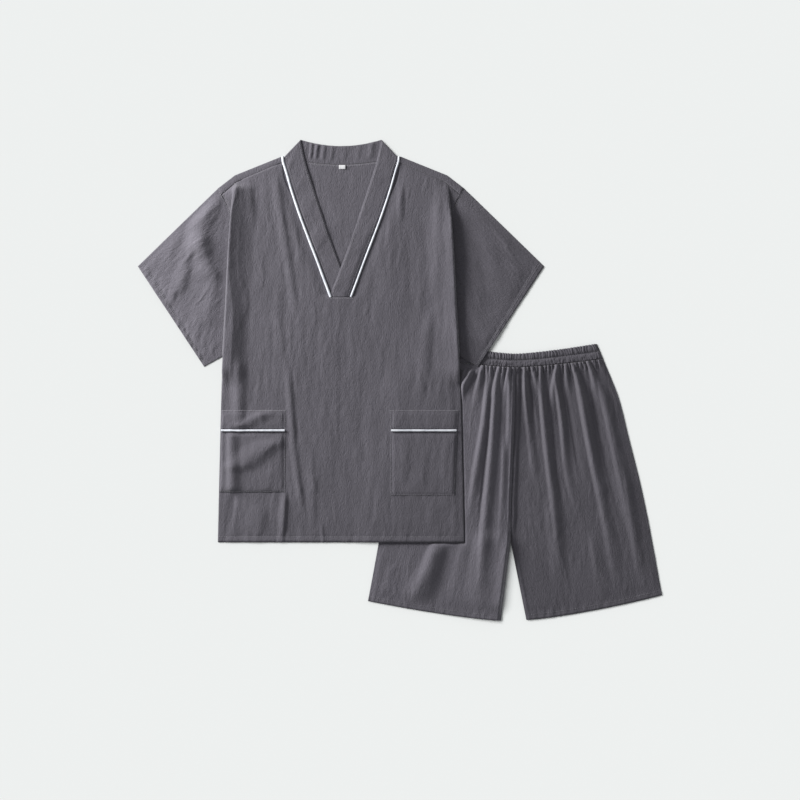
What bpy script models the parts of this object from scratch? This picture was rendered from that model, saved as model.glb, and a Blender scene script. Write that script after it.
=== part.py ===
"""A sauna wear set laid flat: a short-sleeved pullover with a crossed band collar, lying over the left leg of
a pair of shorts with a gathered elastic waist.

Metres, +Z up. The clothes lie on the plane z = 0, seen from above with the collar towards +Y, and the origin is
the middle of the ground that they cover. Left is -X and right is +X. Each garment has its own flat frame: the
pullover's x is measured from its centre front and y from its hem, the shorts' x from their centre seam and y
from their lowest hem corner. Cloth is worked out as the middle of its wall, and a Solidify modifier gives it
its thickness.
"""

import math

import bpy
import numpy as np

# Cloth
WALL = 0.0010  # one layer
BAND_WALL = 0.0020  # the collar band, folded double
SEAM_GAP = 0.0003
PIPING_RADIUS = 0.0015
PIPING_SLOT = 2 * (PIPING_RADIUS + SEAM_GAP)  # what the piping takes between two panels
BACK_Z = WALL / 2
FRONT_Z = 0.0022  # the middle of a front layer over the back one
EDGE_RADIUS = (FRONT_Z - BACK_Z) / 2  # of a folded edge, at the middle of the wall

# Where each garment's own frame lies
TOP_AT = (-0.1095, -0.3018)
SHORTS_AT = (0.2152, -0.4470)

# Pullover: half widths across and heights above the hem
# Height above the hem and half width of the side
SIDE = ((0, 0.2290), (0.1620, 0.2253), (0.2930, 0.2217), (0.4430, 0.2137), (0.5940, 0.2062), (0.6670, 0.1998))
UNDERARM_Y = 0.3605
PLEAT_FOOT_Y = 0.3250  # below this the side seam lies on the outline, and above it under the side fold
PUFF_FOOT_Y = 0.2850  # from here up the side stands higher, until it folds
V_FOOT_Y, V_FOOT_HALF = 0.4557, 0.0206
POCKET_FOOT_Y, POCKET_PIPING_Y, POCKET_TOP_Y = 0.0898, 0.2080, 0.2460
SHOULDER_FOLD = ((0.1100, 0.7176), (0.1972, 0.6825), (0.2292, 0.6579))  # neck, tip, armhole
SHOULDER_SEAM = ((0.1092, 0.7075), (0.1940, 0.6710), (0.2235, 0.6465))
CUFF_TOP, CUFF_FOOT = (0.3780, 0.5130), (0.2549, 0.3270)
SLEEVE_FOOT = (0.1905, 0.3630)  # where its underarm seam meets the body

# Height above the hem and half width of the V's edge, on which the piping lies
V_EDGE = (
    (V_FOOT_Y, V_FOOT_HALF), (0.4872, 0.0324), (0.5214, 0.0450), (0.5642, 0.0615), (0.6088, 0.0782),
    (0.6559, 0.0939), (0.6945, 0.1050), SHOULDER_SEAM[0][::-1],
)
# Height and offset of the collar band's inner edge, which crosses the centre front
BAND_INNER = (
    (0.4557, -0.0215), (0.5120, 0.0), (0.5570, 0.0168), (0.6125, 0.0355), (0.6550, 0.0495), (0.7110, 0.0670),
    (0.7485, 0.0752),
)
# Height and half width of the armhole seam
ARMHOLE = (
    (UNDERARM_Y, 0.1897), (0.5620, 0.1965), (0.6250, 0.2120), SHOULDER_SEAM[2][::-1], SHOULDER_FOLD[2][::-1],
)

# The side fold: the front turns under at the outline, back in, and out again to the armhole
FOLD_RADIUS = 0.0011
FOLD_HEIGHT = 4 * FOLD_RADIUS
LEAST_FOLD_DEPTH = 0.008
SIDE_ROLL = 0.007  # how far in from the outline a plain side starts to round down
PUFF_SLOPE = 0.022  # how wide the slope down from there is
PLAIN_PUFF = 0.0012
V_FOOT_RISE = 0.0012

# Soft folds of the pullover's front: a ridge runs from a place at the top to a place at the foot
FRONT_FOLDS = (
    # top x,  top y,  foot x, foot y, half width, height
    (-0.190, 0.310, -0.193, 0.235, 0.016, 0.0022),
    (-0.178, 0.430, -0.182, 0.270, 0.020, -0.0003),
    (-0.120, 0.660, -0.094, 0.420, 0.018, 0.0016),
    (-0.099, 0.350, -0.097, 0.070, 0.012, 0.0026),
    (-0.060, 0.360, -0.050, 0.020, 0.030, 0.0010),
    (0.165, 0.640, 0.148, 0.250, 0.030, 0.0026),
    (0.100, 0.640, 0.060, 0.420, 0.018, 0.0014),
    (0.060, 0.400, 0.045, 0.030, 0.026, 0.0012),
    (-0.150, 0.190, -0.190, 0.110, 0.018, 0.0018),
    (0.120, 0.210, 0.100, 0.060, 0.020, 0.0008),
)
# The same for a sleeve, with x from the centre front
SLEEVE_FOLDS = {
    "left": ((-0.272, 0.625, -0.262, 0.440, 0.020, 0.0040), (-0.300, 0.540, -0.292, 0.440, 0.016, 0.0022)),
    "right": ((0.262, 0.600, 0.300, 0.440, 0.030, 0.0012),),
}

SLEEVE_ROWS = (0, 0.12, 0.26, 0.42, 0.58, 0.74, 0.88, 1)

# Columns of the front, from the side (0) to the V (1). One of them is the pocket's inner edge.
POCKET_COLUMN = {"left": 0.5800, "right": 0.638}
FRONT_COLUMNS = {
    "left": (0, 0.10, 0.20, 0.31, 0.42, 0.50, POCKET_COLUMN["left"], 0.605, 0.65, 0.75, 0.87, 1),
    "right": (0, 0.10, 0.20, 0.31, 0.43, 0.54, POCKET_COLUMN["right"], 0.74, 0.86, 1),
}
CENTRE_COLUMNS = (0, 0.34, 0.67, 1)
POCKET_ROWS = (
    POCKET_FOOT_Y, 0.130, 0.170, POCKET_PIPING_Y - PIPING_SLOT / 2, POCKET_PIPING_Y + PIPING_SLOT / 2,
    POCKET_TOP_Y,
)
FOLD_ROWS = (PLEAT_FOOT_Y, 0.343, UNDERARM_Y)
LOW_ROWS = (0, 0.022, 0.055, *POCKET_ROWS, PUFF_FOOT_Y, *FOLD_ROWS, 0.410, V_FOOT_Y)
# Shares of the way from the V's foot to the shoulder
HIGH_ROWS = (0.12, 0.25, 0.38, 0.51, 0.64, 0.76, 0.86, 0.93, 1.0)
BODY_ROWS = (*((y, 0) for y in LOW_ROWS), *((V_FOOT_Y, rise) for rise in HIGH_ROWS))
NECK_COLUMNS = 13  # of the back, along the neck seam

# Collar at the back of the neck, as heights above the hem
NECK_SEAM_MIDDLE_Y, NECK_SEAM_END_Y = 0.7027, 0.7166
COLLAR_TOP_MIDDLE_Y, COLLAR_TOP_END_Y = 0.7372, 0.7490
COLLAR_FOLD_HALF = 0.0752  # half the distance between the two top corners
COLLAR_FOOT_HALF = 0.1040  # the same at the neck seam
UNDER_BAND_SHORT = 0.014  # how much the left front band falls short of the right edge of the V
LABEL_SIZE, LABEL_AT = (0.0120, 0.0076), (0.0024, 0.6980)

# Shorts
BAND_HALF_TOP, BAND_HALF_FOOT = 0.1510, 0.1628
BAND_TOP_MIDDLE_Y, BAND_TOP_END_Y = 0.4955, 0.5140
BAND_FOOT_MIDDLE_Y, BAND_FOOT_END_Y = 0.4708, 0.4868
CROTCH = (-0.0091, 0.1462)
INNER_HEM = {"left": (-0.0273, 0.0), "right": (0.0200, 0.0012)}
OUTER_HEM_Y = {"left": 0.0361, "right": 0.0472}
ROW_BEND = 1.35  # how a row across a leg curves up towards the side
# Height and half width of the side
SHORTS_SIDE = (
    (0.0361, 0.2745), (0.2556, 0.2317), (0.3540, 0.2070), (0.4080, 0.1937),
    (BAND_FOOT_END_Y, BAND_HALF_FOOT),
)
GATHERS = 12  # on each half of the front
GATHER_HEIGHT, GATHER_REACH = 0.0034, 0.085
COLUMNS_PER_GATHER = 4
RUFFLES = 56  # across the front of the waistband
RUFFLE_HEIGHT = 0.0011
BAND_FRONT_Z = 0.0034
BAND_END_RADIUS = (BAND_FRONT_Z - BACK_Z) / 2
BAND_ROWS = ((0, 0.35), (0.42, 0.55), (0.50, 0.10), (0.58, 0.75), (1, 1.0))  # shares of its height and ruffles
BAND_BACK_COLUMNS = 15
LEG_ROWS = (0, 0.025, 0.06, 0.12, 0.20, 0.31, 0.44, 0.57, 0.70, 0.84, 0.94, 1)

# Folds that run down from the gathers, with x at the top, a third, two thirds and the foot
LEG_FOLDS = {
    "right": (
        # top y, foot y, x by thirds, half width, height
        (0.462, 0.225, (0.014, 0.030, 0.038, 0.044), 0.010, 0.0050),
        (0.462, 0.080, (0.044, 0.060, 0.080, 0.106), 0.011, 0.0058),
        (0.462, 0.165, (0.073, 0.086, 0.104, 0.133), 0.010, 0.0044),
        (0.466, 0.030, (0.116, 0.150, 0.180, 0.222), 0.014, 0.0060),
        (0.470, 0.060, (0.152, 0.190, 0.222, 0.252), 0.020, 0.0026),
    ),
    "left": (
        (0.462, 0.170, (-0.046, -0.055, -0.072, -0.084), 0.010, 0.0056),
        (0.462, 0.020, (-0.033, -0.039, -0.044, -0.068), 0.011, 0.0052),
        (0.462, 0.300, (-0.012, -0.012, -0.013, -0.014), 0.007, 0.0036),
        (0.150, 0.030, (-0.148, -0.160, -0.174, -0.190), 0.014, 0.0040),
    ),
}

# How the pullover climbs over the shorts below it
PLATEAU = 0.0050
LEDGE, CLIMB = 0.012, 0.060  # level ground past the shorts' edge, then the slope
UNDER_RELIEF = 0.0006  # what relief the shorts keep where they are covered
CLEAR_OF_COVER = 0.012


def eased(share):
    """A smooth step from 0 to 1."""
    share = np.clip(share, 0, 1)
    return share * share * (3 - 2 * share)


def curve(table, at):
    """The value at some place of a smooth curve through rows of (place, value)."""
    place, value = np.array(table, float).T
    slope = np.gradient(value, place)
    at = np.clip(at, place[0], place[-1])
    i = np.clip(np.searchsorted(place, at, side="right") - 1, 0, len(place) - 2)
    step = place[i + 1] - place[i]
    t = (at - place[i]) / step
    return (
        value[i] * (1 + 2 * t) * (1 - t) ** 2
        + value[i + 1] * t * t * (3 - 2 * t)
        + step * (slope[i] * t * (1 - t) ** 2 - slope[i + 1] * t * t * (1 - t))
    )


def ridge(across, half_width):
    """A soft ridge's height, 1 on its crest and 0 past its half widths."""
    return 0.5 + 0.5 * np.cos(np.pi * np.clip(across / half_width, -1, 1))


def straight_folds(table, x, y):
    """The height that a table of straight folds gives at (x, y)."""
    total = np.zeros(np.broadcast(x, y).shape)
    for top_x, top_y, foot_x, foot_y, half_width, height in table:
        down = (top_y - y) / (top_y - foot_y)
        middle = top_x + (foot_x - top_x) * np.clip(down, 0, 1)
        total += height * ridge(x - middle, half_width) * eased(down * 4) * eased((1 - down) * 4)
    return total


def lift(x, y):
    """How far the pullover's underside is off the floor at a place in the world, over the shorts."""
    x, y = np.asarray(x) - SHORTS_AT[0], np.asarray(y) - SHORTS_AT[1]
    side = -curve(SHORTS_SIDE, y)
    past_side = x - (side - LEDGE - CLIMB)
    past_waist = BAND_TOP_END_Y + LEDGE + CLIMB - y
    return PLATEAU * eased(past_side / CLIMB) * eased(past_waist / CLIMB)


def in_world(points, at):
    """Points of a garment's own frame, moved to the world."""
    moved = np.array(points, float)
    moved[..., 0] += at[0]
    moved[..., 1] += at[1]
    return moved


def normals(points):
    """The upward normals of a sheet at its points, in rows and columns."""
    down = np.gradient(points, axis=0)
    across = np.gradient(points, axis=1)
    up = np.cross(across, down)
    up /= np.linalg.norm(up, axis=-1, keepdims=True)
    return up * np.sign(up[..., 2:].sum())


def material(name, colour, roughness):
    made = bpy.data.materials.new(name)
    made.use_nodes = True
    shader = made.node_tree.nodes["Principled BSDF"]
    shader.inputs["Base Color"].default_value = (*colour, 1)
    shader.inputs["Roughness"].default_value = roughness
    made.diffuse_color = (*colour, 1)
    return made


def add_object(name, mesh, finish):
    obj = bpy.data.objects.new(name, mesh)
    mesh.materials.append(finish)
    CLOTHES.objects.link(obj)
    return obj


def add_sheet(name, points, finish, wall=WALL, kept=None, ring=False):
    """A wall of cloth whose middle is a sheet of points in rows and columns. kept says which of its cells are
    cloth, and a ring's last column joins its first."""
    rows, columns = points.shape[:2]
    last = columns if ring else columns - 1
    faces = []
    for r in range(rows - 1):
        for c in range(last):
            if kept is None or kept[r][c]:
                d = (c + 1) % columns
                faces.append((r * columns + c, r * columns + d, (r + 1) * columns + d, (r + 1) * columns + c))
    used = sorted({corner for face in faces for corner in face})
    place = {corner: i for i, corner in enumerate(used)}
    flat = points.reshape(-1, 3)
    mesh = bpy.data.meshes.new(name)
    mesh.from_pydata([flat[i] for i in used], [], [[place[i] for i in face] for face in faces])
    mesh.shade_smooth()
    obj = add_object(name, mesh, finish)
    wall_made = obj.modifiers.new("Wall", "SOLIDIFY")
    wall_made.thickness = wall
    wall_made.offset = 0
    return obj


def add_piping(name, route, finish):
    """A round cord of piping along a row of points."""
    line = bpy.data.curves.new(name, "CURVE")
    line.dimensions = "3D"
    line.bevel_depth = PIPING_RADIUS
    line.bevel_resolution = 2
    line.use_fill_caps = True
    spline = line.splines.new("POLY")
    spline.points.add(len(route) - 1)
    for point, place in zip(spline.points, route):
        point.co = (*place, 1)
    return add_object(name, line, finish)


# Pullover body


def side_x(y):
    """Half width of the body's outline."""
    return curve(SIDE, y)


def seam_x(y):
    """Half width of the body's sewn edge: the armhole, then the side seam, which comes out to the outline."""
    to_side = eased((UNDERARM_Y - y) / (UNDERARM_Y - PLEAT_FOOT_Y))
    return curve(ARMHOLE, y) * (1 - to_side) + side_x(y) * to_side


def folded_under(y):
    """How deep the side fold is at a height, as a share: 0 at the shoulder seam, and 0 again low down."""
    return eased((SHOULDER_SEAM[1][1] - y) / 0.040) * eased((y - PLEAT_FOOT_Y) / (UNDERARM_Y - PLEAT_FOOT_Y))


def fold_stack(y):
    """How high the side stands, as a share of the side fold's layers. It rises before the fold goes in."""
    return eased((SHOULDER_SEAM[1][1] - y) / 0.015) * eased((y - PUFF_FOOT_Y) / (PLEAT_FOOT_Y - PUFF_FOOT_Y))


def crease_x(y):
    """Half width at which the folded side turns back outwards."""
    return np.minimum(seam_x(y) - 0.006, side_x(y) - FOLD_RADIUS - LEAST_FOLD_DEPTH)


def along(line, share):
    """A place on a line of three points, with its bend at half way."""
    first, bend, last = (np.array(p) for p in line)
    if share <= 0.5:
        return first + (bend - first) * share * 2
    return bend + (last - bend) * (share * 2 - 1)


def front_relief(x, y):
    """How high the front stands over its base, in the pullover's frame."""
    inward = side_x(y) - np.abs(x)
    stack = fold_stack(y)
    high = FOLD_HEIGHT * stack + PLAIN_PUFF * (1 - stack) * eased((0.66 - y) / 0.05)
    level = SIDE_ROLL + (side_x(y) - crease_x(y)) * folded_under(y)
    puff = high * eased((level + PUFF_SLOPE - inward) / PUFF_SLOPE)
    from_v = np.abs(x) - curve(V_EDGE, np.maximum(y, V_FOOT_Y))
    near_v = np.where(y > V_FOOT_Y, eased(from_v / 0.03), 1)
    near_shoulder = eased((0.675 + (0.195 - np.abs(x)) * 0.4 - y) / 0.03)
    near_side = eased((inward - SIDE_ROLL) / 0.02)
    foot = V_FOOT_RISE * np.exp(-((x / 0.030) ** 2) - ((y - V_FOOT_Y) / 0.030) ** 2)
    return puff + foot + straight_folds(FRONT_FOLDS, x, y) * near_v * near_shoulder * near_side


def side_columns(side, edge, end):
    """The columns from the front's main part out to its sewn edge. A plain side is rounded down, a high one
    stands upright, and a folded one is turned under, in and out again. edge is the main part's last point and
    end is the sewn edge in the flat."""
    outer, y, z = abs(edge[0]), edge[1], edge[2]
    under, stack = float(folded_under(y)), float(fold_stack(y))
    drop = z - FRONT_Z
    turned, crease = float(side_x(y)) - FOLD_RADIUS, float(crease_x(y))
    bulge = turned + math.sin(math.radians(60)) * FOLD_RADIUS
    half = (turned + end[0]) / 2
    levels = (0.125, 0.375, 0.5, 0.5, 0.75, 1, 1)
    upright_levels = (0.125, 0.375, 0.5, 0.625, 0.75, 0.875, 1)
    folded = (bulge, bulge, turned, crease, crease - FOLD_RADIUS, crease, end[0])
    upright = (bulge, bulge, turned, turned, turned, half, end[0])
    points = []
    for k in range(7):
        share = (k + 1) / 7
        plain_x, plain_z = outer + (end[0] - outer) * share, z - drop * share * share
        open_x = plain_x + (upright[k] - plain_x) * stack
        open_z = plain_z + (z - drop * upright_levels[k] - plain_z) * stack
        x = open_x + (folded[k] - open_x) * under
        level_z = open_z + (z - drop * levels[k] - open_z) * under
        points.append((side * x, y + (end[1] - y) * share, level_z))
    return points


def front_half(name):
    """One half of the front in its own frame, in rows from the hem up, with columns from the sewn edge in to
    the V."""
    side = -1 if name == "left" else 1
    rows = []
    for low_y, rise in BODY_ROWS:
        main = []
        for u in FRONT_COLUMNS[name]:
            top = along(SHOULDER_SEAM, (1 - u) / 2)
            y = low_y + rise * (top[1] - V_FOOT_Y)
            roll = SIDE_ROLL + (FOLD_RADIUS - SIDE_ROLL) * fold_stack(y)
            outer = side_x(y) - roll
            inner = curve(V_EDGE, y)
            x = outer + (inner - outer) * u
            x += (top[0] - x) * eased((rise - 0.7) / 0.3)
            main.append((side * x, y, FRONT_Z + float(front_relief(side * x, y))))
        end_y = low_y + rise * (SHOULDER_SEAM[2][1] - V_FOOT_Y)
        rows.append(side_columns(side, main[0], (float(seam_x(end_y)), end_y))[::-1] + main)
    return np.array(rows)


def lifted(points):
    """A pullover sheet in the world, raised by the shorts under it."""
    world = in_world(points, TOP_AT)
    world[..., 2] += lift(world[..., 0], world[..., 1])
    return world


def build_front():
    """The front, one piece below the V. Returns its points in the world and the number of columns out to each
    side."""
    left, right = front_half("left"), front_half("right")[:, ::-1]
    between = []
    for a, b in zip(left[:, -1], right[:, 0]):
        for u in CENTRE_COLUMNS[1:-1]:
            x, y = a[0] + (b[0] - a[0]) * u, a[1]
            between.append((x, y, FRONT_Z + float(front_relief(x, y))))
    middle = np.array(between).reshape(len(left), -1, 3)
    points = lifted(np.concatenate([left, middle, right], axis=1))
    kept = np.ones((points.shape[0] - 1, points.shape[1] - 1), bool)
    first = left.shape[1] - 1
    kept[len(LOW_ROWS) - 1 :, first : first + len(CENTRE_COLUMNS) - 1] = False
    add_sheet("top_front", points, COTTON, kept=kept)
    return points, left.shape[1] - len(FRONT_COLUMNS["left"])


def v_line():
    """The V's edge as the front's rows have it, and on over the shoulder strip: heights and half widths."""
    heights = [V_FOOT_Y + rise * (SHOULDER_SEAM[0][1] - V_FOOT_Y) for rise in (0, *HIGH_ROWS)]
    return [(y, float(curve(V_EDGE, y))) for y in heights] + [SHOULDER_FOLD[0][::-1]]


def v_half(y):
    """Half width of the V's edge at a height, straight from row to row."""
    heights, halves = zip(*v_line())
    return float(np.interp(y, heights, halves))


def shoulder_out(share):
    """The outward direction across a right shoulder's fold, in the flat."""
    first, last = (0, 2) if share == 0.5 else (1, 2) if share > 0.5 else (0, 1)
    run = np.array(SHOULDER_FOLD[last]) - np.array(SHOULDER_FOLD[first])
    return np.array((-run[1], run[0])) / np.linalg.norm(run)


def neck_seam_y(x):
    """Height of the seam at the back of the neck."""
    return NECK_SEAM_MIDDLE_Y + (NECK_SEAM_END_Y - NECK_SEAM_MIDDLE_Y) * (x / COLLAR_FOOT_HALF) ** 2


def back_half(name):
    """One half of the back in rows from the hem up to the shoulder's fold, with columns from the edge in."""
    side = -1 if name == "left" else 1
    rows = []
    for low_y, rise in BODY_ROWS:
        row = []
        for u in (None, *FRONT_COLUMNS[name]):
            share = 1 if u is None else (1 - u) / 2
            top = along(SHOULDER_FOLD, share) - EDGE_RADIUS * shoulder_out(share)
            y = low_y + rise * (top[1] - V_FOOT_Y)
            sewn, inner = float(seam_x(y)), float(curve(V_EDGE, y))
            outer = min(float(side_x(y)), sewn) - SIDE_ROLL
            if u is None:
                x = sewn
            else:
                x = outer + (inner - outer) * u
                x += (top[0] - x) * eased((rise - 0.7) / 0.3)
            row.append((side * x, y, BACK_Z))
        rows.append(row)
    return np.array(rows)


def build_back():
    """The back lies under everything, and turns over the shoulders to the seam on the front."""
    left, right = back_half("left"), back_half("right")[:, ::-1]
    shares = np.linspace(-1, 1, NECK_COLUMNS)
    rows = []
    for r, (a, b) in enumerate(zip(left, right)):
        rise = (0, *HIGH_ROWS)[max(0, r - len(LOW_ROWS) + 1)]
        centre = []
        for share in shares:
            x = share * b[0][0] * COLLAR_FOOT_HALF / SHOULDER_FOLD[0][0]
            top = neck_seam_y(share * COLLAR_FOOT_HALF)
            y = a[-1][1] if rise == 0 else V_FOOT_Y + rise * (top - V_FOOT_Y)
            centre.append((x, y, BACK_Z))
        rows.append([*a, *centre, *b])
    points = lifted(np.array(rows))
    strips = shoulder_rows(points[-1], left.shape[1])
    points = np.concatenate([points, strips])
    kept = np.ones((points.shape[0] - 1, points.shape[1] - 1), bool)
    kept[len(left) - 1 :, left.shape[1] - 1 : left.shape[1] + NECK_COLUMNS] = False
    add_sheet("top_back", points, COTTON, kept=kept)


def shoulder_rows(last, left_count):
    """The rows of the back that roll over each shoulder's fold and run down the front to its seam."""
    rows = []
    for turn in (45, 90, 135, 180, None):
        row = [tuple(p) for p in last]
        for name, side in (("left", -1), ("right", 1)):
            for k, u in enumerate((None, *FRONT_COLUMNS[name])):
                share = 1 if u is None else (1 - u) / 2
                out = shoulder_out(share) * (side, 1)
                i = k if side < 0 else len(last) - 1 - k
                if turn is None:
                    place = along(SHOULDER_SEAM, share) * (side, 1) + TOP_AT + out * SEAM_GAP
                    z = FRONT_Z
                else:
                    place = last[i][:2] + out * EDGE_RADIUS * math.sin(math.radians(turn))
                    z = BACK_Z + EDGE_RADIUS * (1 - math.cos(math.radians(turn)))
                row[i] = (place[0], place[1], z)
        rows.append(row)
    return np.array(rows)


# Sleeves


def build_sleeve(name):
    """A sleeve: one piece folded along its top, sewn along its underarm, and lying flat as a tube open at both
    ends. Its seam follows the back's rows below and the front's rows above."""
    side = -1 if name == "left" else 1
    seam_top = np.array(SHOULDER_FOLD[2])
    fold_out = across_line(seam_top, CUFF_TOP)
    foot_out = -across_line(SLEEVE_FOOT, CUFF_FOOT)
    back_top, front_top = seam_top[1] - EDGE_RADIUS, SHOULDER_SEAM[2][1]
    first = [y for y in LOW_ROWS if y > SLEEVE_FOOT[1] + 0.01]
    seam_under = [*first, *(V_FOOT_Y + rise * (back_top - V_FOOT_Y) for rise in HIGH_ROWS[:-1])]
    seam_over = [*first, *(V_FOOT_Y + rise * (front_top - V_FOOT_Y) for rise in HIGH_ROWS)]
    rows = []
    for v in SLEEVE_ROWS:
        top = seam_top + (np.array(CUFF_TOP) - seam_top) * v - fold_out * EDGE_RADIUS
        foot = np.array(SLEEVE_FOOT) + (np.array(CUFF_FOOT) - SLEEVE_FOOT) * v - foot_out * EDGE_RADIUS
        layers = []
        for seam in (seam_under, seam_over):
            layer = [foot]
            for y in seam:
                w = (y - SLEEVE_FOOT[1]) / (seam_top[1] - SLEEVE_FOOT[1])
                on_seam = np.array((float(curve(ARMHOLE, y)) + 2 * SEAM_GAP, y))
                straight = foot + (top - foot) * w
                layer.append(straight + (on_seam - straight) * (1 - v) ** 3)
            layer.append(top + (2 * SEAM_GAP * (1 - v), 0))
            layers.append(layer)
        under = [(side * x, y, BACK_Z) for x, y in layers[0]]
        over = [(side * x, y, FRONT_Z + sleeve_relief(name, side * x, y, top, foot)) for x, y in layers[1]]
        ring = [*under, *edge_roll(under[-1], fold_out, side, up=True)]
        ring += [*over[::-1], *edge_roll(over[0], foot_out, side, up=False)]
        rows.append(ring)
    points = lifted(np.array(rows))
    add_sheet(f"sleeve_{name}", points if side > 0 else points[:, ::-1], COTTON, ring=True)


def across_line(first, last):
    """The direction square to a line in the flat, to its left."""
    run = np.array(last) - np.array(first)
    return np.array((-run[1], run[0])) / np.linalg.norm(run)


def sleeve_relief(name, x, y, top, foot):
    """How high a sleeve's upper layer stands: nothing under the body's side fold and along its own edges."""
    clear = eased((abs(x) - side_x(y) - 0.016) / 0.022)
    length = np.linalg.norm(top - foot)
    w = np.linalg.norm(np.array((abs(x), y)) - foot) / length
    edges = eased(w / 0.14) * eased((1 - w) / 0.12)
    return float((0.0008 + straight_folds(SLEEVE_FOLDS[name], x, y)) * clear * edges)


def edge_roll(at, out, side, up):
    """The points round a sleeve's folded edge, from the lower layer to the upper one or back down."""
    points = []
    for turn in (45, 90, 135):
        a = math.radians(turn if up else 180 - turn)
        place = np.array(at[:2]) + out * (side, 1) * EDGE_RADIUS * math.sin(a)
        points.append((place[0], place[1], BACK_Z + EDGE_RADIUS * (1 - math.cos(a))))
    return points


# Collar


def band_edges(name, share):
    """Both edges of a front band at a share of its way up: outer and inner, as places in the flat with the half
    width counted towards the band's own side."""
    low = V_FOOT_Y + SEAM_GAP
    outer_y = low + (SHOULDER_FOLD[0][1] - low) * share
    inner_y = low + (BAND_INNER[-1][0] - low) * share
    inner = float(curve(BAND_INNER, inner_y))
    short = UNDER_BAND_SHORT if name == "left" else 0
    slot = PIPING_SLOT * 1.12  # across the slanting seam
    return (v_half(outer_y) - slot, outer_y), (max(inner, slot + short - v_half(inner_y)), inner_y)


def build_collar_front(name):
    """A front length of the collar band. The right one crosses over the left one."""
    side = -1 if name == "left" else 1
    heights = [(y - V_FOOT_Y) / (SHOULDER_FOLD[0][1] - V_FOOT_Y) for y, half in v_line()]
    rows = []
    for share in heights:
        outer, inner = band_edges(name, share)
        row = []
        for u in (0, 0.32, 0.66, 1):
            x, y = (outer[k] + (inner[k] - outer[k]) * u for k in (0, 1))
            row.append((side * x, y, collar_z(name, y, u)))
        rows.append(row)
    add_sheet(f"collar_{name}", lifted(np.array(rows)), COTTON, wall=BAND_WALL)


def collar_z(name, y, u):
    """Height of the middle of a front band: over the back panel, over the back of the collar at its top end,
    and the right one's inner part over the left one where they cross."""
    on_back = WALL + SEAM_GAP + BAND_WALL / 2
    z = on_back + WALL * float(eased((y - 0.640) / 0.045))
    if name == "right":
        z += (BAND_WALL + 0.0004) * min(u / 0.32, 1) * float(eased((0.610 - y) / 0.060))
    return z


def build_collar_back():
    """The back length of the band, seen from inside, between the folds at the two top corners."""
    rows = []
    for v in (0, 0.5, 1):
        row = []
        for share in np.linspace(-1, 1, NECK_COLUMNS):
            low_x, high_x = share * COLLAR_FOOT_HALF, share * COLLAR_FOLD_HALF
            low_y = neck_seam_y(low_x) + SEAM_GAP
            high_y = COLLAR_TOP_MIDDLE_Y + (COLLAR_TOP_END_Y - COLLAR_TOP_MIDDLE_Y) * share * share
            row.append((low_x + (high_x - low_x) * v, low_y + (high_y - low_y) * v, BAND_WALL / 2))
        rows.append(row)
    add_sheet("collar_back", lifted(np.array(rows)), COTTON, wall=BAND_WALL)


def build_collar_piping(name):
    """The piping in the seam between a front band and the front panel."""
    side = -1 if name == "left" else 1
    line = np.array([(half, y) for y, half in v_line()])
    run = np.gradient(line, axis=0)
    inward = np.stack([-run[:, 1], run[:, 0]], axis=1) / np.linalg.norm(run, axis=1)[:, None]
    route = []
    for (x, y), out in zip(line, inward):
        x, y = (x, y) + out * PIPING_SLOT / 2
        y = max(y, V_FOOT_Y + SEAM_GAP)
        z = WALL + SEAM_GAP + PIPING_RADIUS + V_FOOT_RISE * float(eased((V_FOOT_Y + 0.05 - y) / 0.05))
        route.append((side * x + TOP_AT[0], y + TOP_AT[1], z))
    return add_piping(f"piping_collar_{name}", route, PIPING)


def build_label():
    """The small woven size label under the neck seam, left blank."""
    width, height = LABEL_SIZE
    x, y = LABEL_AT
    z = WALL + SEAM_GAP + WALL / 2
    rows = [[(x + dx * width / 2, y + dy * height / 2, z) for dx in (-1, 1)] for dy in (-1, 1)]
    add_sheet("neck_label", lifted(np.array(rows)), LABEL)


# Pockets


def build_pocket(name, front, outer_columns):
    """A patch pocket made from the front's own points, moved out: its bag, its top band, and the piping between
    them."""
    inner = FRONT_COLUMNS[name].index(POCKET_COLUMN[name])
    if name == "left":
        columns = slice(0, outer_columns + inner + 1)
    else:
        columns = slice(front.shape[1] - outer_columns - inner - 1, front.shape[1] - outer_columns)
    foot, below, above, top = (LOW_ROWS.index(POCKET_ROWS[k]) for k in (0, -3, -2, -1))
    out = normals(front)
    on_front = front + out * (WALL + SEAM_GAP)
    add_sheet(f"pocket_{name}_bag", on_front[foot : below + 1, columns], COTTON)
    add_sheet(f"pocket_{name}_band", on_front[above : top + 1, columns], COTTON)
    seam = (front[below, columns] + front[above, columns]) / 2
    raised = (out[below, columns] + out[above, columns]) / 2
    route = seam + raised * (WALL / 2 + SEAM_GAP + PIPING_RADIUS)
    add_piping(f"piping_pocket_{name}", spaced(route, 0.005), PIPING)


def spaced(route, least):
    """A row of points without those that come too close to the last one kept."""
    kept = [route[0]]
    for point in route[1:-1]:
        if min(np.linalg.norm(point - kept[-1]), np.linalg.norm(point - route[-1])) > least:
            kept.append(point)
    return [*kept, route[-1]]


# Shorts


def centre_x(y):
    """The centre seam, which drifts a little to the left on its way down to the crotch."""
    return CROTCH[0] * eased((BAND_FOOT_MIDDLE_Y - y) / (BAND_FOOT_MIDDLE_Y - CROTCH[1]))


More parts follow.
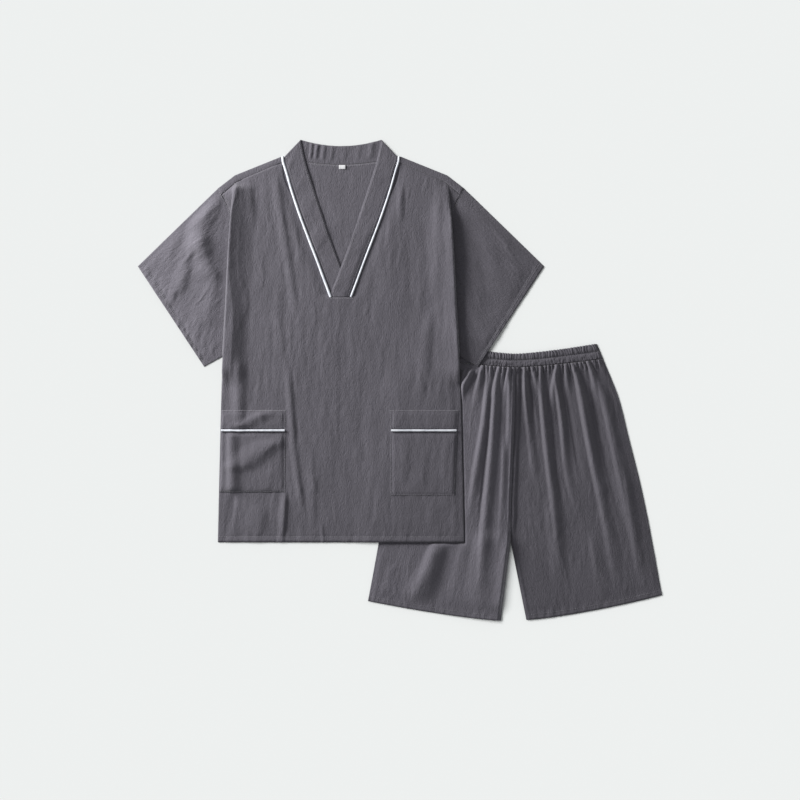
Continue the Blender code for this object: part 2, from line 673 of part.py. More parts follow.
def covered(x, y):
    """How much of the pullover lies over a place on the shorts, from 0 to 1, with its surroundings."""
    x, y = x + SHORTS_AT[0] - TOP_AT[0], y + SHORTS_AT[1] - TOP_AT[1]
    inside = eased((side_x(np.maximum(y, 0)) + CLEAR_OF_COVER - np.abs(x)) / 0.010)
    inside *= eased((y + CLEAR_OF_COVER) / 0.010)
    cuff = np.array(CUFF_FOOT)
    run = np.array(CUFF_TOP) - cuff
    beyond = ((x - cuff[0]) * run[1] - (y - cuff[1]) * run[0]) / np.linalg.norm(run)
    sleeve = eased((CLEAR_OF_COVER + 0.006 - beyond) / 0.010) * eased((y - cuff[1] + 0.016) / 0.010)
    return np.maximum(inside, sleeve)


def leg_point(name, u, v):
    """A place in the flat on a leg: u from the centre to the side, v from the waistband to the hem."""
    side = -1 if name == "left" else 1
    hem = INNER_HEM[name]
    inner_y = BAND_FOOT_MIDDLE_Y - SEAM_GAP + (hem[1] - BAND_FOOT_MIDDLE_Y) * v
    outer_y = BAND_FOOT_END_Y - SEAM_GAP + (OUTER_HEM_Y[name] - BAND_FOOT_END_Y) * v
    if inner_y > CROTCH[1]:
        inner_x = float(centre_x(inner_y))
    else:
        down = (CROTCH[1] - inner_y) / (CROTCH[1] - hem[1])
        inner_x = CROTCH[0] + (hem[0] - CROTCH[0]) * down
    y = inner_y + (outer_y - inner_y) * u**ROW_BEND
    outer_x = side * float(curve(SHORTS_SIDE, y))
    return inner_x + side * SEAM_GAP / 2 + (outer_x - inner_x - side * SEAM_GAP / 2) * u, y


def leg_relief(name, u, v, x, y):
    """How high the front of a leg stands: gathers at the waistband that run out into a few long folds."""
    below = BAND_FOOT_MIDDLE_Y + 0.016 * u - y
    gather = GATHER_HEIGHT * (0.5 - 0.5 * math.cos(2 * math.pi * GATHERS * u))
    gather *= math.exp(-((max(below, 0) / GATHER_REACH) ** 2)) * (0.45 + 0.55 * float(eased(below / 0.02)))
    folds = 0.0
    for top_y, foot_y, x_by_thirds, half_width, height in LEG_FOLDS[name]:
        down = (top_y - y) / (top_y - foot_y)
        middle = float(curve(tuple(zip((0, 1 / 3, 2 / 3, 1), x_by_thirds)), down))
        wide = half_width * (1 + 0.6 * min(max(down, 0), 1))
        folds += height * float(ridge(x - middle, wide) * eased(down * 5) * eased((1 - down) * 3))
    edges = float(eased(u / 0.05) * eased((1 - u) / 0.06))
    open_air = 1 - float(covered(x, y))
    relief = (gather + folds + 0.0008) * edges
    return relief * open_air + min(relief, UNDER_RELIEF) * (1 - open_air)


def build_leg(name):
    """The front and back panels of one leg, with the front's side and inseam lying on the back's."""
    side = -1 if name == "left" else 1
    across = np.linspace(0, 1, GATHERS * COLUMNS_PER_GATHER + 1)
    rows = []
    for v in LEG_ROWS:
        row = []
        for u in across:
            x, y = leg_point(name, u, v)
            row.append((x, y, FRONT_Z + leg_relief(name, u, v, x, y)))
        rows.append(row if side > 0 else row[::-1])
    add_sheet(f"shorts_front_{name}", in_world(rows, SHORTS_AT)[::-1], COTTON)
    flat = []
    for v in LEG_ROWS[::2] + (1,):
        row = [(*leg_point(name, u, v), BACK_Z) for u in np.linspace(0, 1, 7)]
        flat.append(row if side > 0 else row[::-1])
    add_sheet(f"shorts_back_{name}", in_world(flat, SHORTS_AT)[::-1], COTTON)


def band_point(u, v, z):
    """A place on the waistband: u from side to side, v from its foot to its top."""
    half = BAND_HALF_FOOT + (BAND_HALF_TOP - BAND_HALF_FOOT) * v - BAND_END_RADIUS
    foot = BAND_FOOT_MIDDLE_Y + (BAND_FOOT_END_Y - BAND_FOOT_MIDDLE_Y) * abs(u) ** ROW_BEND
    top = BAND_TOP_MIDDLE_Y + (BAND_TOP_END_Y - BAND_TOP_MIDDLE_Y) * abs(u) ** ROW_BEND
    return u * half, foot + (top - foot) * v, z


def build_waistband():
    """The elastic casing: a flattened ring whose front is drawn into ruffles and whose back lies on the floor."""
    rows = []
    for v, ruffle in BAND_ROWS:
        front = []
        for k, u in enumerate(np.linspace(-1, 1, 2 * RUFFLES + 1)):
            x, y, z = band_point(u, v, BAND_FRONT_Z)
            quiet = 1 - float(covered(x, BAND_FOOT_MIDDLE_Y + 0.02)) * 0.7
            wave = RUFFLE_HEIGHT * ruffle * quiet * (k % 2) * float(eased((1 - abs(u)) / 0.03))
            front.append((x, y, z + wave))
        back = [band_point(u, v, BACK_Z) for u in np.linspace(1, -1, BAND_BACK_COLUMNS)]
        right, left = [], []
        for turn in (45, 90, 135):
            out = BAND_END_RADIUS * math.sin(math.radians(turn))
            up = BAND_END_RADIUS * math.cos(math.radians(turn))
            right.append((back[0][0] + out, back[0][1], BACK_Z + BAND_END_RADIUS + up))
            left.append((back[-1][0] - out, back[-1][1], BACK_Z + BAND_END_RADIUS - up))
        rows.append(front + right + back + left)
    add_sheet("waistband", in_world(rows, SHORTS_AT), COTTON, ring=True)


for old in list(bpy.data.objects):
    bpy.data.objects.remove(old)
CLOTHES = bpy.data.collections.new("Sauna wear set")
bpy.context.scene.collection.children.link(CLOTHES)

COTTON = material("Grey crinkled cotton", (0.125, 0.118, 0.138), 0.9)
PIPING = material("White piping", (0.80, 0.82, 0.86), 0.7)
LABEL = material("White woven label", (0.85, 0.85, 0.85), 0.6)

front_sheet, columns_out = build_front()
build_back()
build_collar_back()
build_label()
for half in ("left", "right"):
    build_sleeve(half)
    build_collar_front(half)
    build_collar_piping(half)
    build_pocket(half, front_sheet, columns_out)
    build_leg(half)
build_waistband()
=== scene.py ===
"""A grey crinkled-cotton sauna wear set laid flat, a pullover over a pair of shorts, seen from above.

Metres, +Z up. Each garment has its own flat frame: the pullover's x is measured from its centre front and its
y from the hem, the shorts' x from their centre seam and y from their lowest hem corner.
"""

import math

import bpy
import numpy as np
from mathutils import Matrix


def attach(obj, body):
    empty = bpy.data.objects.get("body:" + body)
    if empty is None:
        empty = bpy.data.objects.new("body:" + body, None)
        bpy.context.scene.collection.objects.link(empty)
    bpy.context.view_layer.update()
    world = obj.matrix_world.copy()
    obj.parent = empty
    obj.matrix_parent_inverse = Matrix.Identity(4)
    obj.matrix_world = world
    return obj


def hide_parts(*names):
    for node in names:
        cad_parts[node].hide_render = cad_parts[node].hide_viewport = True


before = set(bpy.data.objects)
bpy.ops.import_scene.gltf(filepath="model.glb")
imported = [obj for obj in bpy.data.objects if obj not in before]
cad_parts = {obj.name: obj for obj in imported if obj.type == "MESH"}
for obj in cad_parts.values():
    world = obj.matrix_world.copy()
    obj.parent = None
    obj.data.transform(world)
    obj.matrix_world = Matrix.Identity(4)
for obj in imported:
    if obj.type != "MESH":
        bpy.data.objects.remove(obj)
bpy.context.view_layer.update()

# Shorts, the two back panels. Crinkled cotton, flat on the floor, sewn to the fronts along the sides and
# inseams. Nothing of them shows from above but their cut edges at the hems.

SHORTS_AT = (0.2152, -0.4470)
WALL = 0.0009
BACK_Z = 0.0005
SEAM_GAP = 0.0003
THREAD_PITCH = 0.0009
WEAVE_DEPTH = 0.0009
SIGN = {"left": -1, "right": 1}  # of x on a garment's left and right
CROTCH = (-0.0091, 0.1462)
INNER_HEM = {"left": (-0.0273, 0.0), "right": (0.0200, 0.0012)}
OUTER_HEM_Y = {"left": 0.0361, "right": 0.0472}
ROW_BEND = 1.35
BAND_FOOT_MIDDLE_Y, BAND_FOOT_END_Y = 0.4708, 0.4868
BAND_HALF_TOP, BAND_HALF_FOOT = 0.1510, 0.1628
SHORTS_SIDE = (
    (0.0361, 0.2745), (0.2556, 0.2317), (0.3540, 0.2070), (0.4080, 0.1937), (BAND_FOOT_END_Y, BAND_HALF_FOOT)
)


def eased(share):
    """A smooth step from 0 to 1."""
    share = np.clip(share, 0, 1)
    return share * share * (3 - 2 * share)


def curve(table, at):
    """The value at some place of a smooth curve through rows of (place, value)."""
    place, value = np.array(table, float).T
    slope = np.gradient(value, place)
    at = np.clip(at, place[0], place[-1])
    i = np.clip(np.searchsorted(place, at, side="right") - 1, 0, len(place) - 2)
    step = place[i + 1] - place[i]
    t = (at - place[i]) / step
    return (
        value[i] * (1 + 2 * t) * (1 - t) ** 2
        + value[i + 1] * t * t * (3 - 2 * t)
        + step * (slope[i] * t * (1 - t) ** 2 - slope[i + 1] * t * t * (1 - t))
    )


def leg_places(name, u, v):
    """Places in the flat on a leg: u from the centre to the side, v from the waistband to the hem."""
    side = SIGN[name]
    hem = INNER_HEM[name]
    inner_y = BAND_FOOT_MIDDLE_Y - SEAM_GAP + (hem[1] - BAND_FOOT_MIDDLE_Y) * v
    outer_y = BAND_FOOT_END_Y - SEAM_GAP + (OUTER_HEM_Y[name] - BAND_FOOT_END_Y) * v
    drift = CROTCH[0] * eased((BAND_FOOT_MIDDLE_Y - inner_y) / (BAND_FOOT_MIDDLE_Y - CROTCH[1]))
    down = (CROTCH[1] - inner_y) / (CROTCH[1] - hem[1])
    inner_x = np.where(inner_y > CROTCH[1], drift, CROTCH[0] + (hem[0] - CROTCH[0]) * down)
    inner_x = inner_x + side * SEAM_GAP / 2
    y = inner_y + (outer_y - inner_y) * u**ROW_BEND
    outer_x = side * curve(SHORTS_SIDE, y)
    return inner_x + (outer_x - inner_x) * u, y


def add_object(name, data):
    """A new object in the scene, made of a mesh, a curve, a light or a camera."""
    made = bpy.data.objects.new(name, data)
    bpy.context.scene.collection.objects.link(made)
    return made


def cloth_object(name, points, grain, crest=None, kept=None, ring=False, wall=WALL):
    """A wall of cloth over a sheet of points in rows and columns. grain is each point's place along and
    across the threads, in metres, and crest says how far it stands out of its surroundings; the cotton's
    shader paints a highlight where it is high, and the shorts' gathers add painted shade to it in their pits.
    A ring has one more column of grain than of points, and its last column joins its first."""
    rows, columns = points.shape[:2]
    ids = np.arange(rows * columns).reshape(rows, columns)
    if ring:
        ids = np.concatenate([ids, ids[:, :1]], axis=1)
    corners = ((slice(None, -1), slice(None, -1)), (slice(None, -1), slice(1, None)),
               (slice(1, None), slice(1, None)), (slice(1, None), slice(None, -1)))
    quads = np.stack([ids[corner] for corner in corners], axis=-1)
    uvs = np.stack([grain[corner] for corner in corners], axis=-2)
    if kept is not None:
        quads, uvs = quads[kept], uvs[kept]
    quads, uvs = quads.reshape(-1, 4), uvs.reshape(-1, 2)
    used, faces = np.unique(quads, return_inverse=True)
    faces = faces.reshape(-1, 4)
    mesh = bpy.data.meshes.new(name)
    mesh.vertices.add(len(used))
    mesh.vertices.foreach_set("co", points.reshape(-1, 3)[used].astype(np.float32).ravel())
    mesh.loops.add(faces.size)
    mesh.loops.foreach_set("vertex_index", faces.astype(np.int32).ravel())
    mesh.polygons.add(len(faces))
    mesh.polygons.foreach_set("loop_start", np.arange(0, faces.size, 4, dtype=np.int32))
    mesh.update(calc_edges=True)
    mesh.uv_layers.new(name="grain").data.foreach_set("uv", uvs.astype(np.float32).ravel())
    stands = np.zeros(points.shape[:2]) if crest is None else crest
    mesh.attributes.new("crest", "FLOAT", "POINT").data.foreach_set(
        "value", stands.reshape(-1)[used].astype(np.float32)
    )
    mesh.shade_smooth()
    mesh.validate()
    obj = add_object(name, mesh)
    wall_made = obj.modifiers.new("Wall", "SOLIDIFY")
    wall_made.thickness = wall
    wall_made.offset = 0
    return obj


def place_in_world(x, y, z, at):
    """Points of a garment's own frame, as one array in the world."""
    x, y, z = np.broadcast_arrays(x, y, z)
    return np.stack([x + at[0], y + at[1], z], axis=-1)


def pattern_group(name, inputs, outputs):
    """An empty shader node group with named inputs and outputs, each a name and a socket type, and its two
    end nodes."""
    tree = bpy.data.node_groups.new(name, "ShaderNodeTree")
    for label, kind in inputs:
        tree.interface.new_socket(label, in_out="INPUT", socket_type=kind)
    for label, kind in outputs:
        tree.interface.new_socket(label, in_out="OUTPUT", socket_type=kind)
    return tree, tree.nodes.new("NodeGroupInput"), tree.nodes.new("NodeGroupOutput")


def node(tree, kind, **settings):
    """A node with its settings, and with its inputs set or linked by a dict of them."""
    made = tree.nodes.new(kind)
    wires = settings.pop("wires", {})
    for key, value in settings.items():
        setattr(made, key, value)
    for socket, value in wires.items():
        if isinstance(value, bpy.types.NodeSocket):
            tree.links.new(value, made.inputs[socket])
        else:
            made.inputs[socket].default_value = value
    return made


def maths(tree, operation, *values):
    """The output of a maths node with some values."""
    return node(tree, "ShaderNodeMath", operation=operation, wires=dict(enumerate(values))).outputs[0]


def scaled(tree, vector, size):
    """A vector scaled by a size."""
    return node(tree, "ShaderNodeVectorMath", operation="SCALE", wires={0: vector, "Scale": size}).outputs[0]


def give_relief(tree, shader, height, strength, depth):
    """Raises a shader's surface by a height."""
    bump = node(tree, "ShaderNodeBump", wires={"Strength": strength, "Distance": depth, "Height": height})
    tree.links.new(bump.outputs[0], shader.inputs["Normal"])


def new_material(name, own_sockets):
    """A material with its shader's own sockets set by a dict. Returns it, its node tree and its shader."""
    made = bpy.data.materials.new(name)
    made.use_nodes = True
    shader = made.node_tree.nodes["Principled BSDF"]
    for socket, value in own_sockets.items():
        shader.inputs[socket].default_value = value
    return made, made.node_tree, shader


def two_tones(tree, mask, low, high):
    """The colours between two stops along a mask. Each stop is a place from 0 to 1 and a colour."""
    ramp = node(tree, "ShaderNodeValToRGB", wires={"Fac": mask})
    for stop, (place, colour) in zip(ramp.color_ramp.elements, (low, high)):
        stop.position, stop.color = place, (*colour, 1)
    return ramp.outputs[0]


def cloth_weave_group():
    """The cotton's surface from a place along its grain in metres: the height of its weave and its fine
    crinkle, the shade of its slubs, and a broad mottle."""
    tree, start, end = pattern_group(
        "Slub weave", (("Grain", "NodeSocketVector"), ("Pitch", "NodeSocketFloat")),
        (("Height", "NodeSocketFloat"), ("Slub", "NodeSocketFloat"), ("Mottle", "NodeSocketFloat")))

    def stretched_noise(per_metre_across, per_metre_along, **inputs):
        place = node(tree, "ShaderNodeVectorMath", operation="MULTIPLY", wires={
            0: start.outputs["Grain"], 1: (per_metre_across, per_metre_along, 1.0)})
        return node(
            tree, "ShaderNodeTexNoise", wires={"Vector": place.outputs[0], "Scale": 1.0, **inputs}
        ).outputs[0]

    weft = scaled(tree, start.outputs["Grain"], maths(tree, "DIVIDE", 1.0, start.outputs["Pitch"]))
    threads, picks = (node(tree, "ShaderNodeTexWave", wave_type="BANDS", bands_direction=run, wires={
        "Vector": weft, "Scale": 0.32, "Distortion": 1.4, "Detail": 1.0}) for run in "XY")
    cloth = maths(tree, "MULTIPLY", threads.outputs[1], picks.outputs[1])
    slub = stretched_noise(520.0, 200.0, Detail=2.0, Roughness=0.6, Distortion=1.0)
    pucker = stretched_noise(230.0, 90.0, Detail=1.0, Distortion=0.9)
    crease = maths(tree, "ABSOLUTE", maths(tree, "SUBTRACT", pucker, 0.5))
    woven = maths(tree, "MULTIPLY_ADD", cloth, 0.12, slub)
    tree.links.new(maths(tree, "MULTIPLY_ADD", crease, -1.6, woven), end.inputs["Height"])
    tree.links.new(slub, end.inputs["Slub"])
    tree.links.new(stretched_noise(34.0, 16.0, Detail=2.0), end.inputs["Mottle"])
    return tree


SLUB_WEAVE = cloth_weave_group()


def cotton_material(name, dark, mid, light):
    """Soft, dull cotton: dark between its slubs and lighter on them, and lighter still where a crease or
    crinkle stands out, which is a painted highlight."""
    made, tree, shader = new_material(name, {
        "Roughness": 0.92, "Specular IOR Level": 0.22, "Sheen Weight": 0.28, "Sheen Roughness": 0.55})
    grain = node(tree, "ShaderNodeUVMap", uv_map="grain")
    weave = node(tree, "ShaderNodeGroup", node_tree=SLUB_WEAVE, wires={
        "Grain": grain.outputs[0], "Pitch": THREAD_PITCH})
    shade = two_tones(tree, weave.outputs["Slub"], (0.34, dark), (0.68, mid))
    # Painted highlight and shade: the crest attribute mixes the colour towards the light tone where the cloth
    # stands out, and a low crest keeps the gathers' pits darker
    crest = node(tree, "ShaderNodeAttribute", attribute_name="crest")
    painted_highlight = node(tree, "ShaderNodeMapRange", wires={
        "Value": crest.outputs["Fac"], "From Min": 0.1, "From Max": 1.0, "To Max": 0.18})
    highlighted = node(tree, "ShaderNodeMix", data_type="RGBA", wires={
        "Factor": painted_highlight.outputs[0], 6: shade, 7: (*light, 1)})
    patch = node(tree, "ShaderNodeMapRange", wires={
        "Value": weave.outputs["Mottle"], "From Min": 0.3, "From Max": 0.7, "To Min": 0.94, "To Max": 1.06})
    tree.links.new(scaled(tree, highlighted.outputs[2], patch.outputs[0]), shader.inputs["Base Color"])
    give_relief(tree, shader, weave.outputs["Height"], 1.0, WEAVE_DEPTH)
    return made


COTTON = cotton_material(
    "Grey crinkled cotton", (0.087, 0.0815, 0.0975), (0.1055, 0.0995, 0.1185), (0.160, 0.151, 0.176)
)
# The same cloth a sixth lighter, for the left sleeve and the left leg: painted light, standing in for the
# stronger light that falls on them
COTTON_PAINTED_LIGHTER = cotton_material(
    "Grey crinkled cotton, painted lighter", (0.102, 0.0955, 0.114), (0.1245, 0.1175, 0.140), (0.188, 0.178, 0.207)
)
# Painted light: the left sleeve and left leg get the lighter copy of the cotton
SIDE_COTTON = {"left": COTTON_PAINTED_LIGHTER, "right": COTTON}


def finish_cloth(obj, stands_for, material=COTTON):
    """Gives a piece of cloth its material, hangs it from the root body and hides the CAD part that it stands
    for.
    """
    obj.data.materials.append(material)
    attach(obj, "root")
    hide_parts(stands_for)


for name in ("left", "right"):
    across, down = np.meshgrid(np.linspace(0, 1, 41), np.linspace(1, 0, 41))
    x, y = leg_places(name, across, down)
    if name == "left":
        x, y = x[:, ::-1], y[:, ::-1]
    back = cloth_object(
        f"Shorts_back_{name}", place_in_world(x, y, BACK_Z, SHORTS_AT), np.stack([x, y], axis=-1)
    )
    finish_cloth(back, f"shorts_back_{name}")

# Shorts, the two front panels. Crinkled cotton whose crinkle runs down the leg, gathered into the waistband.
# The gathers run out into a few long folds, and the hem is turned up and stitched.

TOP_AT = (-0.1095, -0.3018)
SIDE = ((0, 0.2290), (0.1620, 0.2253), (0.2930, 0.2217), (0.4430, 0.2137), (0.5940, 0.2062), (0.6670, 0.1998))
CUFF_TOP, CUFF_FOOT = (0.3780, 0.5130), (0.2549, 0.3270)
FRONT_Z = 0.0022
COVERED_RELIEF = 0.0006  # what the pullover leaves of the folds below it
CLEAR_OF_COVER = 0.005
LEG_FOLDS = {
    "right": (
        # top y, foot y, x at the top, a third, two thirds and the foot, half width, height
        (0.466, 0.225, (0.0145, 0.0210, 0.0300, 0.0433), 0.008, 0.0044),
        (0.466, 0.330, (0.0270, 0.0330, 0.0390, 0.0450), 0.005, 0.0022),
        (0.466, 0.060, (0.0437, 0.0560, 0.0730, 0.0870), 0.009, 0.0062),
        (0.460, 0.134, (0.0592, 0.0690, 0.0820, 0.1079), 0.005, -0.0016),
        (0.466, 0.165, (0.0730, 0.0856, 0.0970, 0.1255), 0.008, 0.0050),
        (0.452, 0.233, (0.0893, 0.1010, 0.1130, 0.1261), 0.005, -0.0016),
        (0.468, 0.030, (0.1116, 0.1386, 0.1690, 0.1960), 0.011, 0.0066),
        (0.452, 0.134, (0.1354, 0.1560, 0.1810, 0.2111), 0.006, -0.0020),
        (0.470, 0.040, (0.1510, 0.1820, 0.2130, 0.2450), 0.012, 0.0046),
        (0.230, 0.020, (0.060, 0.068, 0.076, 0.083), 0.016, 0.0022),
        (0.300, 0.040, (0.200, 0.212, 0.224, 0.238), 0.009, 0.0018),
        (0.170, 0.010, (0.140, 0.148, 0.158, 0.170), 0.013, 0.0020),
    ),
    "left": (
        (0.466, 0.170, (-0.0500, -0.0600, -0.0760, -0.0880), 0.009, 0.0056),
        (0.466, 0.010, (-0.0360, -0.0463, -0.0604, -0.0712), 0.010, 0.0062),
        (0.440, 0.140, (-0.0480, -0.0540, -0.0620, -0.0700), 0.005, -0.0014),
        (0.466, 0.300, (-0.0120, -0.0120, -0.0130, -0.0140), 0.007, 0.0036),
        (0.360, 0.100, (-0.0220, -0.0240, -0.0280, -0.0330), 0.007, 0.0020),
        (0.170, -0.060, (-0.0080, -0.0150, -0.0230, -0.0260), 0.030, 0.0046),
        (0.150, 0.010, (-0.1480, -0.1600, -0.1780, -0.1960), 0.022, 0.0044),
        (0.140, 0.020, (-0.1260, -0.1360, -0.1480, -0.1580), 0.014, -0.0010),
        (0.150, 0.030, (-0.096, -0.104, -0.112, -0.120), 0.015, 0.0016),
        (0.175, 0.020, (-0.124, -0.152, -0.178, -0.204), 0.026, 0.0038),
        (0.170, 0.020, (-0.062, -0.070, -0.076, -0.080), 0.022, 0.0026),
        (0.110, 0.030, (-0.228, -0.234, -0.240, -0.246), 0.016, 0.0014),
    ),
}
# Gathers below the waistband, from the left to the right
GATHERS = {
    "right": (
        # x at the waistband, x 30 mm lower, half width, height, reach down
        (0.0160, 0.0162, 0.0050, 0.0034, 0.070), (0.0215, 0.0170, 0.0036, 0.0022, 0.014),
        (0.0300, 0.0385, 0.0058, 0.0030, 0.060), (0.0372, 0.0420, 0.0040, 0.0020, 0.018),
        (0.0450, 0.0462, 0.0046, 0.0028, 0.040), (0.0535, 0.0580, 0.0036, 0.0018, 0.016),
        (0.0606, 0.0640, 0.0036, 0.0020, 0.020), (0.0668, 0.0690, 0.0036, 0.0016, 0.013),
        (0.0765, 0.0712, 0.0066, 0.0036, 0.070), (0.0838, 0.0830, 0.0038, 0.0016, 0.016),
        (0.0915, 0.0950, 0.0046, 0.0028, 0.050), (0.0985, 0.1060, 0.0036, 0.0017, 0.018),
        (0.1036, 0.1150, 0.0056, 0.0036, 0.062), (0.1102, 0.1190, 0.0036, 0.0022, 0.022),
        (0.1172, 0.1280, 0.0040, 0.0018, 0.018), (0.1250, 0.1360, 0.0038, 0.0020, 0.024),
        (0.1330, 0.1450, 0.0060, 0.0034, 0.055), (0.1432, 0.1560, 0.0060, 0.0016, 0.020),
        (0.1540, 0.1680, 0.0070, 0.0014, 0.030),
    ),
    "left": (
        (-0.1500, -0.1660, 0.0060, 0.0018, 0.030), (-0.1390, -0.1540, 0.0056, 0.0024, 0.040),
        (-0.1290, -0.1430, 0.0050, 0.0020, 0.024), (-0.1190, -0.1330, 0.0056, 0.0028, 0.050),
        (-0.1090, -0.1230, 0.0048, 0.0022, 0.026), (-0.1000, -0.1140, 0.0050, 0.0026, 0.036),
        (-0.0900, -0.1050, 0.0046, 0.0026, 0.030), (-0.0820, -0.0990, 0.0040, 0.0022, 0.020),
        (-0.0745, -0.0950, 0.0054, 0.0040, 0.070), (-0.0690, -0.0780, 0.0036, 0.0018, 0.016),
        (-0.0625, -0.0700, 0.0056, 0.0032, 0.060), (-0.0545, -0.0506, 0.0046, 0.0030, 0.024),
        (-0.0470, -0.0500, 0.0044, 0.0030, 0.026), (-0.0400, -0.0420, 0.0034, 0.0018, 0.014),
        (-0.0318, -0.0380, 0.0058, 0.0032, 0.064), (-0.0236, -0.0280, 0.0044, 0.0026, 0.036),
        (-0.0185, -0.0200, 0.0030, 0.0016, 0.014), (-0.0136, -0.0182, 0.0048, 0.0028, 0.060),
    ),
}
HEM_STITCH = 0.009  # above the shorts' hems
LEG_WIDTH, LEG_HEIGHT, LEG_COLUMNS, LEG_ROWS = 0.24, 0.45, 191, 131
CRINKLE_RISE, CRINKLE_DIP, FOLD_RISE = 0.0006, -0.0003, 0.006  # a full ridge, the deepest dip and a full fold
SEAM_HEAP = 0.0090  # how far the left leg rises towards the centre seam


def ridge(across, half_width):
    """A soft ridge's height, 1 on its crest and 0 past its half widths."""
    return 0.5 + 0.5 * np.cos(np.pi * np.clip(across / half_width, -1, 1))


def leaning_ridge(across, half_width):
    """A ridge that is steep on its left, runs out gently on its right and keeps its width."""
    return ridge(across / np.where(across < 0, 0.7, 1.3), half_width)


def value_noise(x, y, seed):
    """Smooth noise from -1 to 1 with cells of 1 by 1, the same each time for a seed."""
    table = np.random.default_rng(seed).uniform(-1, 1, (256, 256))
    cell_x, cell_y = np.floor(x).astype(int), np.floor(y).astype(int)
    step_x, step_y = eased(x - cell_x), eased(y - cell_y)
    low, high = (
        table[row % 256, cell_x % 256] * (1 - step_x) + table[row % 256, (cell_x + 1) % 256] * step_x
        for row in (cell_y, cell_y + 1)
    )
    return low * (1 - step_y) + high * step_y


def crinkle(across, along, seed):
    """Height of the cotton's own crinkle: short, thin, broken ridges along the grain, sharper above than
    below."""
    wander = (
        across + 0.0060 * value_noise(across / 0.026, along / 0.034, seed)
        + 0.0020 * value_noise(across / 0.009, along / 0.013, seed + 1)
    )
    broad = value_noise(wander / 0.0075, along / 0.024, seed + 2)
    fine = value_noise(wander / 0.0040, along / 0.012, seed + 3)
    strength = 0.70 + 0.40 * value_noise(across / 0.040, along / 0.050, seed + 4)
    peaks = np.maximum(broad, -0.35) + 0.35 * np.abs(broad)
    return (0.00040 * peaks + 0.00032 * fine) * strength


def share_of(height, full):
    """A height as a share of a full one, from 0 to 1."""
    return np.clip(height / full, 0, 1)


def faded_ends(down):
    """1 along the middle half of a fold, and easing to 0 over the quarter at each end."""
    return eased(down * 4) * eased((1 - down) * 4)


def side_x(y):
    """Half width of the pullover's outline."""
    return curve(SIDE, y)


def covered(x, y):
    """How much of the pullover lies over a place on the shorts, from 0 to 1, with its surroundings."""
    x, y = x + SHORTS_AT[0] - TOP_AT[0], y + SHORTS_AT[1] - TOP_AT[1]
    inside = (
        eased((side_x(np.maximum(y, 0)) + CLEAR_OF_COVER - np.abs(x)) / CLEAR_OF_COVER)
        * eased((y + CLEAR_OF_COVER) / CLEAR_OF_COVER)
    )
    cuff = np.array(CUFF_FOOT)
    run = np.array(CUFF_TOP) - cuff
    beyond = ((x - cuff[0]) * run[1] - (y - cuff[1]) * run[0]) / np.linalg.norm(run)
    sleeve = eased((CLEAR_OF_COVER + 0.001 - beyond) / CLEAR_OF_COVER) * eased((y - cuff[1] + 0.011) / 0.008)
    return np.maximum(inside, sleeve)


